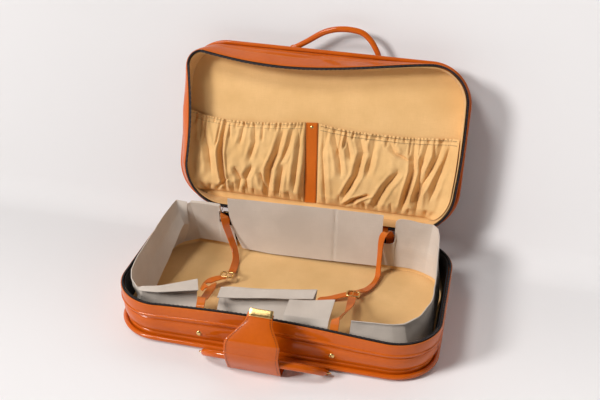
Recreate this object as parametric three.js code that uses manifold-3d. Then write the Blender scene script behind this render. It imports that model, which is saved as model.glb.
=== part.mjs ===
// Leather suitcase, open: a rigid-bottomed base and lid joined by a leather hinge and a zip,
// two rolled handles, a wrap-over lock flap, gathered lid pockets and tie-down straps.
// Millimetres, +X to the right, +Y to the back, +Z up. The origin is the middle of the
// base's underside, on the floor.

import * as THREE from 'three';
import { mergeVertices } from 'three/addons/utils/BufferGeometryUtils.js';
import Module from 'manifold-3d';

const wasm = await Module();
wasm.setup();

// Case as a whole
const CASE_WIDTH = 630;
const CASE_DEPTH = 364;
const CORNER_RADIUS = 92;
const BASE_HEIGHT = 91;
const LID_HEIGHT = 61;
const LID_OPEN_DEGREES = 110;
const RIM_GAP = 0.6;
const SEAT = 0.3;
const LAYER_GAP = 0.6;
const CUT_OVERRUN = 6;

// Shells
const PANEL_THICKNESS = 8;
const PIPING_RADIUS = 4.8;
const PIPING_LIFT = 3.8;
const WALL_THICKNESS = 4.5;
const WALL_LEAN = 8;
const SEAM_HEIGHT = 20;
const SEAM_DROP = 37;
const SEAM_WIDTH = 3;
const SEAM_DEPTH = 0.9;
const BAND_DROP = 28;
const BAND_OVERLAP = 2;
const BAND_THICKNESS = 1.7;
const BEAD_RADIUS = 2.2;
const TAPE_HEIGHT = 8;
const TAPE_THICKNESS = 1.4;
const TEETH_HEIGHT = 2.4;
const TEETH_THICKNESS = 2.6;
const TAPE_INSET = 1;
const LINING_THICKNESS = 1.2;
const LINING_DROP = 5;
const BOARD_THICKNESS = 5.7;

// Slack of the open rims, as the photograph shows them
const BASE_FRONT_BOW = 7;
const BASE_FRONT_RISE = 6;
const BASE_CORNER_FLARE = 6;
const LID_FRONT_SAG = 25;
const LID_FRONT_CORNER_DROP = 27;
const LID_HINGE_LEFT_INSET = 28;
const LID_HINGE_RIGHT_INSET = 13;
const LID_FREE_LEFT_INSET = 6;
const LID_FREE_RIGHT_INSET = 8;
const LID_LEFT_BOW = 8;
const LID_RIGHT_BOW = 3;
const LID_TIGHT_CORNER_RADIUS = 28;
const LID_LOOSE_CORNER_RADIUS = 80;
const LID_SAG_PEAK_SHARE = 0.42;

// Leather hinge
const HINGE_STRIP_THICKNESS = 2;
const HINGE_STRIP_HEIGHT = 22;
const HINGE_STRIP_WIDTH = 340;
const HINGE_FOLD_GAP = 1.3;
const HINGE_ROLL_RADIUS = 2.2;
const HINGE_STRIP_LAP = 1.6;

// Stiff cloth flaps in the base
const FLAP_CLOTH = 2;
const FLAP_INSET = 3;
const FLAP_LIFT = 0.5;
const LEFT_FLAP_HEIGHT = 124;
const RIGHT_FLAP_HEIGHT = 142;
const LEFT_FLAP_SHARES = [0.95, 0.98, 1, 0.96, 0.93, 0.92, 0.88, 0.76, 0.75];
const RIGHT_FLAP_SHARES = [0.66, 0.67, 0.66, 0.63, 0.62, 0.64, 0.78, 0.98, 1];
const FLAP_STRAP_GAP = 3;
const FLAP_FLARE = 20;
const FLAP_WAIST_SHARE = 0.6;
const LEFT_FLARE_SHARES = [0, 0.5, 0.9, 0, 0, 0, 0, -1.3, -2.6];
const RIGHT_FLARE_SHARES = [0, 0, 0, 0, 0, 0, 0.5, 0.5, 0];
const REAR_FLAP_HEIGHT = 136;
const REAR_FLAP_LEAN = 4;
const REAR_FLAP_TAPER = 34;
const REAR_FLAP_STANDOFF = 11;
const REAR_FLAP_OVERLAP_SHARES = [0.35, 0.8];
const FRONT_FLAP_ROW_SHARES = [[0, 0, 0], [0.5, 0.5, 0], [0.93, 0.94, 0], [0.99, 0.99, 0], [1, 0.98, 0.12],
  [0.97, 1, 1]];
const FRONT_TAB_ROW_SHARES = [[0, 0], [0.5, 0], [0.9, 0.02], [1, 0.16], [1, 0.6], [1, 1]];
const FRONT_FLAP_WIDTH = 182;
const FRONT_FLAP_SHIFT = -23;
const FRONT_FLAP_HEIGHT = 88;
const FRONT_FLAP_FOLD = 30;
const FRONT_FLAP_LEFT_LEAN = 62;
const FRONT_FLAP_RIGHT_LEAN = 104;
const FRONT_FLAP_STANDOFF = 9;
const FRONT_TAB_WIDTH = 84;
const FRONT_TAB_SHIFT = 68;
const FRONT_TAB_LENGTH = 50;
const FRONT_TAB_RISE = 6;
const FRONT_TAB_SKEW = 22;
const FRONT_TAB_STANDOFF = 4;

// Tie-down straps and their buckles
const STRAP_WIDTH = 20;
const STRAP_THICKNESS = 2;
const STRAP_WALL_GAP = 0.9;
const STUD_RADIUS = 5;
const STUD_DOME = 3;
const STUD_SHANK_RADIUS = 2;
const STUD_HEIGHT = 36;
const STUD_BAND_GAP = 4.6;
const STRAP_RIM_DROP = 7;
const STUD_CLEARANCE = 0.5;
const STUD_CAP = 1.6;
const STRAP_FRONT_SHARES = [-0.596, 0.552];
const STRAP_REAR_SHARES = [-0.825, 0.794];
const BUCKLE_SHARES = [-0.632, 0.565];
const LEFT_FRONT_PATH_SHARES = [[-0.65, 0.36, 0.42], [-0.71, 0.68, 0.76], [-0.72, 0.85, 0.9], [-0.68,
  0.94, 0.86]];
const RIGHT_FRONT_PATH_SHARES = [[0.543, 0.4, 0.46], [0.534, 0.78, 0.76]];
const LEFT_REAR_PATH_SHARES = [[-0.79, 0.06, 0.76], [-0.735, 0.14, 0.85], [-0.695, 0.25, 0.93], [-0.66,
  0.44, 0.96],
  [-0.63, 0.75, 0.91]];
const RIGHT_REAR_PATH_SHARES = [[0.79, 0.08, 0.75], [0.768, 0.17, 0.84], [0.74, 0.28, 0.92], [0.7, 0.46,
  0.96],
  [0.645, 0.75, 0.91]];
const SIDE_FLAP_END_SHARE = 0.673;
const TAIL_LENGTH = 84;
const TAIL_WIDTH = 16;
const TAIL_DRIFT = 16;
const TAIL_PATH_SHARES = [[0, 0, 0], [0.3, 0, 0.04], [0.5, 0.25, 0.35], [0.75, 0.65, 0.8], [1, 1, 1]];
const BUCKLE_Y = 30;
const BUCKLE_Z = 32;
const BUCKLE_LENGTH = 18;
const BUCKLE_WIDTH = 28;
const BUCKLE_WIRE = 1.4;
const BUCKLE_CORNER = 4;
const PRONG_RADIUS = 0.9;

// Wrap-over lock flap
const LOCK_FLAP_WIDTH = 102;
const LOCK_FLAP_NECK_WIDTH = 46;
const LOCK_FLAP_SHIFT = -12;
const LOCK_FLAP_THICKNESS = 3;
const LOCK_FLAP_ROOT_LENGTH = 40;
const LOCK_FLAP_REACH = 68;
const LOCK_FLAP_FOOT = 37;
const LOCK_FLAP_CREASE_HEIGHT = 89;
const LOCK_FLAP_UPPER_RUN = 37;
const LOCK_FLAP_BELLY = 9;
const CAP_LENGTH = 12.6;
const CAP_THICKNESS = 6;
const CAP_WIDTH = 41;
const TONGUE_LENGTH = 4.5;
const TONGUE_WIDTH = 16;
const TONGUE_THICKNESS = 2;

// Lock keeper on the lid's outer face
const KEEPER_WIDTH = 44;
const KEEPER_LENGTH = 26;
const KEEPER_HEIGHT = 12;
const KEEPER_MOUTH_CLEARANCE = 2;
const KEEPER_SETBACK = 14;
const RELEASE_WIDTH = 9;
const RELEASE_LENGTH = 7;
const RELEASE_HEIGHT = 4;

// Rolled handles
const BASE_HANDLE_SPAN = 224;
const BASE_HANDLE_HEIGHT = 40;
const LID_HANDLE_SPAN = 190;
const LID_HANDLE_HEIGHT = 54;
const LID_HANDLE_SHIFT = 4;
const HANDLE_GRIP_RADIUS = 6.2;
const HANDLE_END_RADIUS = 4.6;
const BASE_ARCH_SHARES = [[-1, 0], [-1, 0.12], [-0.96, 0.36], [-0.84, 0.66], [-0.6, 0.88], [-0.3,
  0.97], [0, 1],
  [0.3, 0.97], [0.6, 0.88], [0.84, 0.66], [0.96, 0.36], [1, 0.12], [1, 0]];
const LID_ARCH_SHARES = [[-1, 0], [-1, 0.07], [-0.9, 0.13], [-0.65, 0.4], [-0.35, 0.75], [-0.1, 0.93],
  [0.16, 1],
  [0.4, 0.99], [0.61, 0.9], [0.8, 0.64], [0.94, 0.3], [1, 0.1], [1, 0]];
const BASE_HANDLE_DEGREES = 42;
const BASE_RING_OUTSET = 8;
const LID_RING_INSET = 20;
const RING_WIDTH = 27;
const RING_LENGTH = 12;
const RING_WIRE = 1.5;
const RING_CORNER = 4;
const TAB_WIDTH = 16;
const TAB_THICKNESS = 2.2;
const TAB_LENGTH = 34;
const TAB_CURL_CLEARANCE = 0.6;
const CURL_TURN_SHARE = 1.35;

// Lid pockets and centre strap
const POCKET_TOP = 20;
const POCKET_BOTTOM = 152;
const POCKET_SIDE_MARGIN = 13;
const POCKET_CENTRE_GAP = 3;
const POCKET_CLOTH = 1.6;
const POCKET_BULGE = 17;
const POCKET_MOUTH = 9;
const POCKET_FOLDS = 9;
const POCKET_FOLD_DEPTH = 3.4;
const CENTRE_STRAP_WIDTH = 25;
const CENTRE_STRAP_THICKNESS = 2.4;
const CENTRE_STRAP_SHIFT = -20;
const RIVET_RADIUS = 3.5;
const RIVET_DOME = 1.8;
const RIVET_SETBACK = 8;

// Zip sliders
const SLIDER_LENGTH = 14;
const SLIDER_DEPTH = 4.5;
const SLIDER_HEIGHT = 6;
const SLIDER_SETBACK = 18;
const PULL_LENGTH = 26;
const PULL_WIDTH = 7;
const PULL_THICKNESS = 2;

// Counts of facets
const CORNER_STEPS = 6;
const SIDE_STEPS = [10, 4, 10, 4];
const TUBE_SIDES = 8;
const WIRE_SIDES = 6;
const STRAP_STEPS = 18;
const GRIP_STEPS = 22;
const CURL_STEPS = 7;
const ROLL_SIDES = 12;
const LOCK_FLAP_STEPS = 6;
const POCKET_COLUMNS = 36;
const POCKET_ROWS = 8;

// Worked out from the sizes above
const LID_OPEN = THREE.MathUtils.degToRad(LID_OPEN_DEGREES);
const FOOT_INSET = 2 * PIPING_RADIUS + SEAT;
const FOOT_HALF_WIDTH = CASE_WIDTH / 2 - FOOT_INSET;
const FOOT_HALF_DEPTH = CASE_DEPTH / 2 - FOOT_INSET;
const FOOT_RADIUS = CORNER_RADIUS - FOOT_INSET;
const WALL_FOOT = PANEL_THICKNESS + SEAT;
const FLOOR_TOP = WALL_FOOT + BOARD_THICKNESS;
const LEAN_START = FLOOR_TOP + SEAT;
const LINING_OUT = -(WALL_THICKNESS + LAYER_GAP);
const HINGE_STRIP_OUT = LAYER_GAP + BAND_THICKNESS + LAYER_GAP;
const RIM_HALF_WIDTH = FOOT_HALF_WIDTH + WALL_LEAN;
const RIM_HALF_DEPTH = FOOT_HALF_DEPTH + WALL_LEAN;
const HINGE_Y = RIM_HALF_DEPTH + HINGE_STRIP_OUT + HINGE_STRIP_THICKNESS + HINGE_FOLD_GAP;
const HINGE_Z = BASE_HEIGHT + RIM_GAP / 2;
const CLOSED_TOP = BASE_HEIGHT + RIM_GAP + LID_HEIGHT;
const RECESS_DEPTH = LOCK_FLAP_THICKNESS + 2 * SEAT;
const STRAIGHT_HALF = FOOT_HALF_WIDTH - FOOT_RADIUS;
const REAR_STUD_HEIGHT = BASE_HEIGHT - BAND_DROP - 2 * BEAD_RADIUS - STUD_RADIUS - STUD_BAND_GAP;
const STRAP_REAR_TOP = BASE_HEIGHT - STRAP_RIM_DROP;

// Materials
const leather = { color: 0xb4531c, roughness: 0.42, metalness: 0 };
const lining = { color: 0xc99a58, roughness: 0.9, metalness: 0 };
const stiffCloth = { color: 0xb3aaa0, roughness: 0.85, metalness: 0 };
const zipCloth = { color: 0x141215, roughness: 0.7, metalness: 0 };
const brass = { color: 0xc8963c, roughness: 0.25, metalness: 1 };

const suitcase = new THREE.Group();
const lid = new THREE.Group();
const lidTray = new THREE.Group();
lid.position.set(0, HINGE_Y, HINGE_Z);
lid.rotation.x = -LID_OPEN;
lidTray.position.set(0, -HINGE_Y, CLOSED_TOP - HINGE_Z);
lidTray.rotation.x = Math.PI;
lid.add(lidTray);
suitcase.add(lid);

function addPiece(parent, name, geometry, look) {
  const mesh = new THREE.Mesh(outward(geometry), new THREE.MeshStandardMaterial(look));
  mesh.name = name;
  parent.add(mesh);
  return mesh;
}

// Turns a closed mesh's faces outward, going by the sign of its volume.
function outward(geometry) {
  const position = geometry.attributes.position;
  const index = geometry.index;
  const [a, b, c] = [new THREE.Vector3(), new THREE.Vector3(), new THREE.Vector3()];
  let volume = 0;
  for (let i = 0; i < index.count; i += 3) {
    a.fromBufferAttribute(position, index.getX(i));
    b.fromBufferAttribute(position, index.getX(i + 1));
    c.fromBufferAttribute(position, index.getX(i + 2));
    volume += a.dot(b.cross(c));
  }
  if (volume < 0) {
    for (let i = 0; i < index.count; i += 3) {
      const first = index.getX(i);
      index.setX(i, index.getX(i + 1));
      index.setX(i + 1, first);
    }
  }
  geometry.computeVertexNormals();
  return geometry;
}

function indexed(points, faces) {
  const geometry = new THREE.BufferGeometry();
  geometry.setAttribute('position', new THREE.Float32BufferAttribute(points.flatMap((p) => p.toArray()),
    3));
  geometry.setIndex(faces.flat());
  return geometry;
}

function merged(geometry) {
  geometry.deleteAttribute('normal');
  geometry.deleteAttribute('uv');
  return mergeVertices(geometry);
}

// Skins a row of closed rings. A loop joins the last ring to the first; otherwise both ends
// are closed by a fan, so an end ring has no hollow in its outline.
function skin(rings, loop) {
  const count = rings[0].length;
  const faces = [];
  const spans = loop ? rings.length : rings.length - 1;
  for (let i = 0; i < spans; i += 1) {
    const next = (i + 1) % rings.length;
    for (let j = 0; j < count; j += 1) {
      const k = (j + 1) % count;
      faces.push([i * count + j, next * count + j, next * count + k]);
      faces.push([i * count + j, next * count + k, i * count + k]);
    }
  }
  const last = (rings.length - 1) * count;
  for (let j = 1; j < count - 1 && !loop; j += 1) {
    faces.push([0, j, j + 1]);
    faces.push([last, last + j + 1, last + j]);
  }
  return indexed(rings.flat(), faces);
}

// A sheet of even thickness on a grid of middle points, rows by columns.
function sheet(grid, thickness) {
  const rows = grid.length;
  const columns = grid[0].length;
  const front = [];
  const back = [];
  for (let i = 0; i < rows; i += 1) {
    for (let j = 0; j < columns; j += 1) {
      const along = grid[Math.min(i + 1, rows - 1)][j].clone().sub(grid[Math.max(i - 1, 0)][j]);
      const across = grid[i][Math.min(j + 1, columns - 1)].clone().sub(grid[i][Math.max(j - 1, 0)]);
      const normal = along.cross(across).normalize().multiplyScalar(thickness / 2);
      front.push(grid[i][j].clone().add(normal));
      back.push(grid[i][j].clone().sub(normal));
    }
  }
  const faces = [];
  const half = rows * columns;
  const at = (i, j) => i * columns + j;
  const quad = (a, b, c, d) => faces.push([a, b, c], [a, c, d]);
  for (let i = 0; i < rows - 1; i += 1) {
    for (let j = 0; j < columns - 1; j += 1) {
      quad(at(i, j), at(i + 1, j), at(i + 1, j + 1), at(i, j + 1));
      quad(half + at(i, j), half + at(i, j + 1), half + at(i + 1, j + 1), half + at(i + 1, j));
    }
  }
  for (let i = 0; i < rows - 1; i += 1) {
    quad(at(i, 0), half + at(i, 0), half + at(i + 1, 0), at(i + 1, 0));
    quad(at(i, columns - 1), at(i + 1, columns - 1), half + at(i + 1, columns - 1), half + at(i,
      columns - 1));
  }
  for (let j = 0; j < columns - 1; j += 1) {
    quad(at(0, j), at(0, j + 1), half + at(0, j + 1), half + at(0, j));
    quad(at(rows - 1, j), half + at(rows - 1, j), half + at(rows - 1, j + 1), at(rows - 1, j + 1));
  }
  return indexed([...front, ...back], faces);
}

// A strap of even width along a smooth path, its width along X
function strapAlong(points, width, thickness, steps) {
  const curve = new THREE.CatmullRomCurve3(points);
  const side = new THREE.Vector3(width / 2, 0, 0);
  const grid = [];
  for (let i = 0; i <= steps; i += 1) {
    const middle = curve.getPoint(i / steps);
    grid.push([middle.clone().sub(side), middle.clone().add(side)]);
  }
  return sheet(grid, thickness);
}

// A round grip along a path in the X-Z plane, its radius given by `radiusAt`.
function roundTube(points, radiusAt) {
  const curve = new THREE.CatmullRomCurve3(points, false, 'centripetal');
  const planeNormal = new THREE.Vector3(0, 1, 0);
  const rings = [];
  for (let i = 0; i <= GRIP_STEPS; i += 1) {
    const share = i / GRIP_STEPS;
    const middle = curve.getPoint(share);
    const outer = curve.getTangent(share).cross(planeNormal).normalize();
    const ring = [];
    for (let j = 0; j < TUBE_SIDES; j += 1) {
      const turn = (2 * Math.PI * j) / TUBE_SIDES;
      ring.push(middle.clone()
        .addScaledVector(outer, Math.cos(turn) * radiusAt(share))
        .addScaledVector(planeNormal, Math.sin(turn) * radiusAt(share)));
    }
    rings.push(ring);
  }
  return skin(rings, false);
}

// A wire bent to a rounded rectangle in the X-Z plane, centred on its own origin.
function wireFrame(width, length, corner, wire) {
  const points = [];
  const corners = [[1, 1], [-1, 1], [-1, -1], [1, -1]];
  corners.forEach(([sx, sz], k) => {
    for (let i = 0; i <= 2; i += 1) {
      const turn = (Math.PI / 2) * (k + i / 2);
      points.push(new THREE.Vector3(
        sx * (width / 2 - corner) + corner * Math.cos(turn),
        0,
        sz * (length / 2 - corner) + corner * Math.sin(turn),
      ));
    }
  });
  const normal = new THREE.Vector3(0, 1, 0);
  const rings = points.map((point, i) => {
    const next = points[(i + 1) % points.length];
    const before = points[(i - 1 + points.length) % points.length];
    const outer = next.clone().sub(before).normalize().cross(normal);
    return Array.from({ length: WIRE_SIDES }, (unused, j) => {
      const turn = (2 * Math.PI * j) / WIRE_SIDES;
      return point.clone().addScaledVector(outer, Math.cos(turn) * wire).addScaledVector(normal,
        Math.sin(turn) * wire);
    });
  });
  return skin(rings, true);
}

function toSolid(geometry) {
  const clean = merged(geometry);
  return new wasm.Manifold(new wasm.Mesh({
    numProp: 3,
    vertProperties: new Float32Array(clean.attributes.position.array),
    triVerts: new Uint32Array(clean.index.array),
  }));
}

function toGeometry(solid) {
  const mesh = solid.getMesh();
  const geometry = new THREE.BufferGeometry();
  geometry.setAttribute('position', new THREE.BufferAttribute(new Float32Array(mesh.vertProperties), 3));
  geometry.setIndex(new THREE.BufferAttribute(new Uint32Array(mesh.triVerts), 1));
  return geometry;
}

function cutWith(geometry, cutters) {
  const body = cutters.reduce((rest, cutter) => rest.subtract(toSolid(cutter)), toSolid(outward(geometry)));
  return toGeometry(body);
}

function joined(first, second) {
  return toGeometry(toSolid(outward(first)).add(toSolid(second)));
}

// Round rod along X, centred on a place
function rollAlongX(radius, length, place) {
  const rod = new THREE.CylinderGeometry(radius, radius, length, ROLL_SIDES);
  return rod.rotateZ(Math.PI / 2).translate(place.x, place.y, place.z);
}

function boxAt(width, depth, height, x, y, z) {
  return new THREE.BoxGeometry(width, depth, height).translate(x, y, z);
}

// Outline of a shell: four rounded corners in turn (front left, front right, rear right,
// rear left), and sides that may bow outward. Each station has its place and outward normal.
function outlineOf(corners, bows) {
  const stations = [];
  const arcs = corners.map((corner, k) => {
    const here = new THREE.Vector2(corner.x, corner.y);
    const before = corners[(k + 3) % 4];
    const after = corners[(k + 1) % 4];
    const arriving = here.clone().sub(new THREE.Vector2(before.x, before.y)).normalize();
    const leaving = new THREE.Vector2(after.x, after.y).sub(here).normalize();
    const turn = Math.acos(arriving.dot(leaving));
    const start = here.clone().addScaledVector(arriving, -corner.radius * Math.tan(turn / 2));
    const centre = new THREE.Vector2(start.x - arriving.y * corner.radius,
      start.y + arriving.x * corner.radius);
    const first = Math.atan2(-arriving.x, arriving.y);
    return Array.from({ length: CORNER_STEPS + 1 }, (unused, i) => {
      const angle = first + (turn * i) / CORNER_STEPS;
      const normal = new THREE.Vector2(Math.cos(angle), Math.sin(angle));
      return { place: centre.clone().addScaledVector(normal, corner.radius), normal };
    });
  });
  arcs.forEach((arc, k) => {
    stations.push(...arc);
    const from = arc[CORNER_STEPS];
    const to = arcs[(k + 1) % 4][0];
    const { out = 0, peakShare = 0.5 } = bows[k];
    for (let i = 1; i < SIDE_STEPS[k]; i += 1) {
      const share = i / SIDE_STEPS[k];
      const swell = Math.sin(Math.PI * share ** (Math.log(0.5) / Math.log(peakShare)));
      const place = from.place.clone().lerp(to.place, share).addScaledVector(from.normal, out * swell);
      stations.push({ place, normal: from.normal.clone() });
    }
  });
  return stations;
}

const CORNER_STATIONS = CORNER_STEPS + 1;
const FRONT_START = CORNER_STATIONS - 1;
const RIGHT_START = FRONT_START + SIDE_STEPS[0] + CORNER_STEPS;
const REAR_START = RIGHT_START + SIDE_STEPS[1] + CORNER_STEPS;
const LEFT_START = REAR_START + SIDE_STEPS[2] + CORNER_STEPS;
const STATION_COUNT = LEFT_START + SIDE_STEPS[3];

function footOutline() {
  const corner = (sx, sy) => ({ x: sx * FOOT_HALF_WIDTH, y: sy * FOOT_HALF_DEPTH, radius: FOOT_RADIUS });
  return outlineOf([corner(-1, -1), corner(1, -1), corner(1, 1), corner(-1, 1)], [{}, {}, {}, {}]);
}

// A shell's wall between its foot outline and its rim outline. `at` gives the wall's outer
// surface at a station and a height over the panel's outer face, moved outward by `out`.
function makeTray(rim, rimHeight, easing, riseAt) {
  const foot = footOutline();
  const at = (station, height, out) => {
    const i = ((station % STATION_COUNT) + STATION_COUNT) % STATION_COUNT;
    const low = Math.floor(i);
    const high = (low + 1) % STATION_COUNT;
    const share = THREE.MathUtils.clamp((height - LEAN_START) / (rimHeight - LEAN_START), 0, 1);
    const lean = easing(share);
    const one = (k) => {
      const normal = foot[k].normal.clone().lerp(rim[k].normal, lean).normalize();
      const place = foot[k].place.clone().lerp(rim[k].place, lean).addScaledVector(normal, out);
      return new THREE.Vector3(place.x, place.y, height + riseAt(place) * share);
    };
    return one(low).lerp(one(high), i - low);
  };
  const ring = (profile) => skin(
    Array.from({ length: STATION_COUNT }, (unused, i) => profile.map(([height, out]) => at(i, height,
      out))),
    true,
  );
  const run = (from, to, profile) => skin(
    Array.from({ length: to - from + 1 }, (unused, i) => profile.map(([height, out]) => at(from + i,
      height, out))),
    false,
  );
  // Flat plate that fills the foot outline, moved outward by `out`
  const plate = (low, high, out) => {
    const shape = new THREE.Shape(foot.map((s) => s.place.clone().addScaledVector(s.normal, out)));
    return merged(new THREE.ExtrudeGeometry(shape, { depth: high - low,
      bevelEnabled: false })).translate(0, 0, low);
  };
  return { at, ring, run, plate };
}

const frontHump = (place) => {
  const across = Math.cos((Math.PI / 2) * THREE.MathUtils.clamp(place.x / FOOT_HALF_WIDTH, -1, 1));
  return place.y < 0 ? BASE_FRONT_RISE * across ** 2 * THREE.MathUtils.clamp(-place.y / FOOT_HALF_DEPTH,
    0, 1) ** 2 : 0;
};

const baseTray = makeTray(outlineOf([
  { x: -RIM_HALF_WIDTH, y: -RIM_HALF_DEPTH, radius: CORNER_RADIUS },
  { x: RIM_HALF_WIDTH, y: -RIM_HALF_DEPTH - BASE_CORNER_FLARE, radius: CORNER_RADIUS },
  { x: RIM_HALF_WIDTH, y: RIM_HALF_DEPTH, radius: CORNER_RADIUS },
  { x: -RIM_HALF_WIDTH, y: RIM_HALF_DEPTH, radius: CORNER_RADIUS },
], [{ out: -BASE_FRONT_BOW, peakShare: LID_SAG_PEAK_SHARE }, {}, {}, {}]),
BASE_HEIGHT, (share) => Math.sin((Math.PI / 2) * share), frontHump);

// The lid's tray lies upside down: its own front is the hinge side, its rear the free side.
const lidTrayShape = makeTray(outlineOf([
  { x: -RIM_HALF_WIDTH + LID_HINGE_LEFT_INSET, y: -RIM_HALF_DEPTH, radius: CORNER_RADIUS },
  { x: RIM_HALF_WIDTH - LID_HINGE_RIGHT_INSET, y: -RIM_HALF_DEPTH, radius: CORNER_RADIUS },
  { x: RIM_HALF_WIDTH - LID_FREE_RIGHT_INSET, y: RIM_HALF_DEPTH, radius: LID_LOOSE_CORNER_RADIUS },
  { x: -RIM_HALF_WIDTH + LID_FREE_LEFT_INSET, y: RIM_HALF_DEPTH - LID_FRONT_CORNER_DROP,
    radius: LID_TIGHT_CORNER_RADIUS },
], [{}, { out: LID_RIGHT_BOW }, { out: -LID_FRONT_SAG, peakShare: 1 - LID_SAG_PEAK_SHARE },
  { out: -LID_LEFT_BOW }]),
LID_HEIGHT, (share) => share, () => 0);

// Profiles of the wall's layers, as pairs of height and distance out from the wall's face
function wallProfile(rimHeight, withLowSeam) {
  const top = rimHeight - TAPE_HEIGHT - TEETH_HEIGHT - SEAT;
  const seam = (height) => [[height - SEAM_WIDTH / 2, 0], [height, -SEAM_DEPTH],
    [height + SEAM_WIDTH / 2, 0]];
  return [
    [WALL_FOOT, 0],
    [LEAN_START, 0],
    ...(withLowSeam ? seam(SEAM_HEIGHT) : []),
    ...seam(rimHeight - SEAM_DROP),
    [rimHeight - BAND_DROP - BEAD_RADIUS, 0],
    [rimHeight - BAND_DROP, 0],
    [top, 0],
    [top, -WALL_THICKNESS],
    [rimHeight / 2, -WALL_THICKNESS],
    [LEAN_START, -WALL_THICKNESS],
    [WALL_FOOT, -WALL_THICKNESS],
  ];
}

function bandProfile(rimHeight) {
  const low = rimHeight - BAND_DROP;
  const high = rimHeight - TAPE_HEIGHT - TEETH_HEIGHT + BAND_OVERLAP;
  const face = LAYER_GAP + BAND_THICKNESS;
  return [
    [low - BEAD_RADIUS, LAYER_GAP],
    [low, LAYER_GAP],
    [high - BAND_OVERLAP - SEAT, LAYER_GAP],
    [high, LAYER_GAP],
    [high, face],
    [low + BEAD_RADIUS, face],
    [low + BEAD_RADIUS * 0.8, LAYER_GAP + BEAD_RADIUS * 1.3],
    [low, LAYER_GAP + BEAD_RADIUS * 1.7],
    [low - BEAD_RADIUS * 0.7, LAYER_GAP + BEAD_RADIUS],
  ];
}

function tapeProfile(rimHeight) {
  const low = rimHeight - TAPE_HEIGHT - TEETH_HEIGHT;
  const high = rimHeight - TEETH_HEIGHT - SEAT;
  return [[low, -TAPE_INSET], [high, -TAPE_INSET], [high, -TAPE_INSET - TAPE_THICKNESS],
    [low, -TAPE_INSET - TAPE_THICKNESS]];
}

function teethProfile(rimHeight) {
  const middle = -TAPE_INSET - TAPE_THICKNESS / 2;
  const low = rimHeight - TEETH_HEIGHT;
  return [[low, middle + TEETH_THICKNESS / 2], [rimHeight, middle + TEETH_THICKNESS / 2],
    [rimHeight, middle - TEETH_THICKNESS / 2], [low, middle - TEETH_THICKNESS / 2]];
}

function liningProfile(rimHeight) {
  const levels = [LEAN_START, rimHeight / 2, rimHeight - TAPE_HEIGHT - TEETH_HEIGHT - SEAT,
    rimHeight - LINING_DROP];
  return [
    ...levels.map((height) => [height, LINING_OUT - LINING_THICKNESS]),
    ...levels.reverse().map((height) => [height, LINING_OUT]),
  ];
}

function pipingProfile() {
  return Array.from({ length: TUBE_SIDES }, (unused, i) => {
    const turn = (2 * Math.PI * (i + 0.5)) / TUBE_SIDES;
    return [PIPING_LIFT + PIPING_RADIUS + PIPING_RADIUS * Math.sin(turn),
      SEAT + PIPING_RADIUS + PIPING_RADIUS * Math.cos(turn)];
  });
}

// Middle of one side of a tray: the station number and the straight half run there
const baseFrontMiddle = FRONT_START + SIDE_STEPS[0] / 2;
const rearMiddle = REAR_START + SIDE_STEPS[2] / 2;
const stationAcross = (middle, x) => middle + ((x / STRAIGHT_HALF) * SIDE_STEPS[0]) / 2;
const frontStation = (x) => stationAcross(baseFrontMiddle, x);
const rearStation = (x) => stationAcross(rearMiddle, -x);

// The front studs sit low on the wall, the rear ones higher.
function studHeight(facing) {
  return facing < 0 ? STUD_HEIGHT : REAR_STUD_HEIGHT;
}

// Middle of a strap's thickness where its riveted end lies against the lining
function strapWallY(station, facing) {
  const lowest = studHeight(facing) - STRAP_WIDTH / 2;
  const lining = baseTray.at(station, lowest, LINING_OUT - LINING_THICKNESS).y;
  return lining - facing * (STRAP_WALL_GAP + STRAP_THICKNESS / 2);
}

// Round-headed stud through the wall at x, with its shank and inner cap, facing -Y or +Y
function studAt(x, facing) {
  const station = facing < 0 ? frontStation(x) : rearStation(x);
  const face = baseTray.at(station, studHeight(facing), 0).y * facing;
  const inner = strapWallY(station, facing) * facing - STRAP_THICKNESS / 2 - SEAT;
  const profile = [
    new THREE.Vector2(0, inner - STUD_CAP),
    new THREE.Vector2(STUD_RADIUS, inner - STUD_CAP),
    new THREE.Vector2(STUD_RADIUS, inner),
    new THREE.Vector2(STUD_SHANK_RADIUS, inner),
    new THREE.Vector2(STUD_SHANK_RADIUS, face + STUD_CLEARANCE),
    new THREE.Vector2(STUD_RADIUS, face + STUD_CLEARANCE),
    new THREE.Vector2(STUD_RADIUS * 0.75, face + STUD_CLEARANCE + STUD_DOME * 0.7),
    new THREE.Vector2(0, face + STUD_CLEARANCE + STUD_DOME),
  ];
  const stud = new THREE.LatheGeometry(profile, TUBE_SIDES);
  if (facing < 0) {
    stud.rotateZ(Math.PI);
  }
  return merged(stud).translate(x, 0, studHeight(facing));
}

function studHole(x, facing) {
  const radius = STUD_SHANK_RADIUS + STUD_CLEARANCE;
  const depth = WALL_THICKNESS * 2 + CUT_OVERRUN * 2;
  const y = facing * (FOOT_HALF_DEPTH - WALL_THICKNESS / 2);
  return new THREE.CylinderGeometry(radius, radius, depth, TUBE_SIDES).translate(x, y, studHeight(facing));
}

const straps = ['left', 'right'].map((side, k) => ({
  side,
  frontX: STRAP_FRONT_SHARES[k] * STRAIGHT_HALF,
  rearX: STRAP_REAR_SHARES[k] * STRAIGHT_HALF,
  buckleX: BUCKLE_SHARES[k] * STRAIGHT_HALF,
  frontShares: [LEFT_FRONT_PATH_SHARES, RIGHT_FRONT_PATH_SHARES][k],
  rearShares: [LEFT_REAR_PATH_SHARES, RIGHT_REAR_PATH_SHARES][k],
}));
const studs = straps.flatMap(({ side, frontX, rearX }) => [
  [`${side}_front_stud`, frontX, -1],
  [`${side}_rear_stud`, rearX, 1],
]);
const studHoles = () => studs.map(([, x, facing]) => studHole(x, facing));
const riveted = (strap) => cutWith(strap, studHoles());

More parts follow.
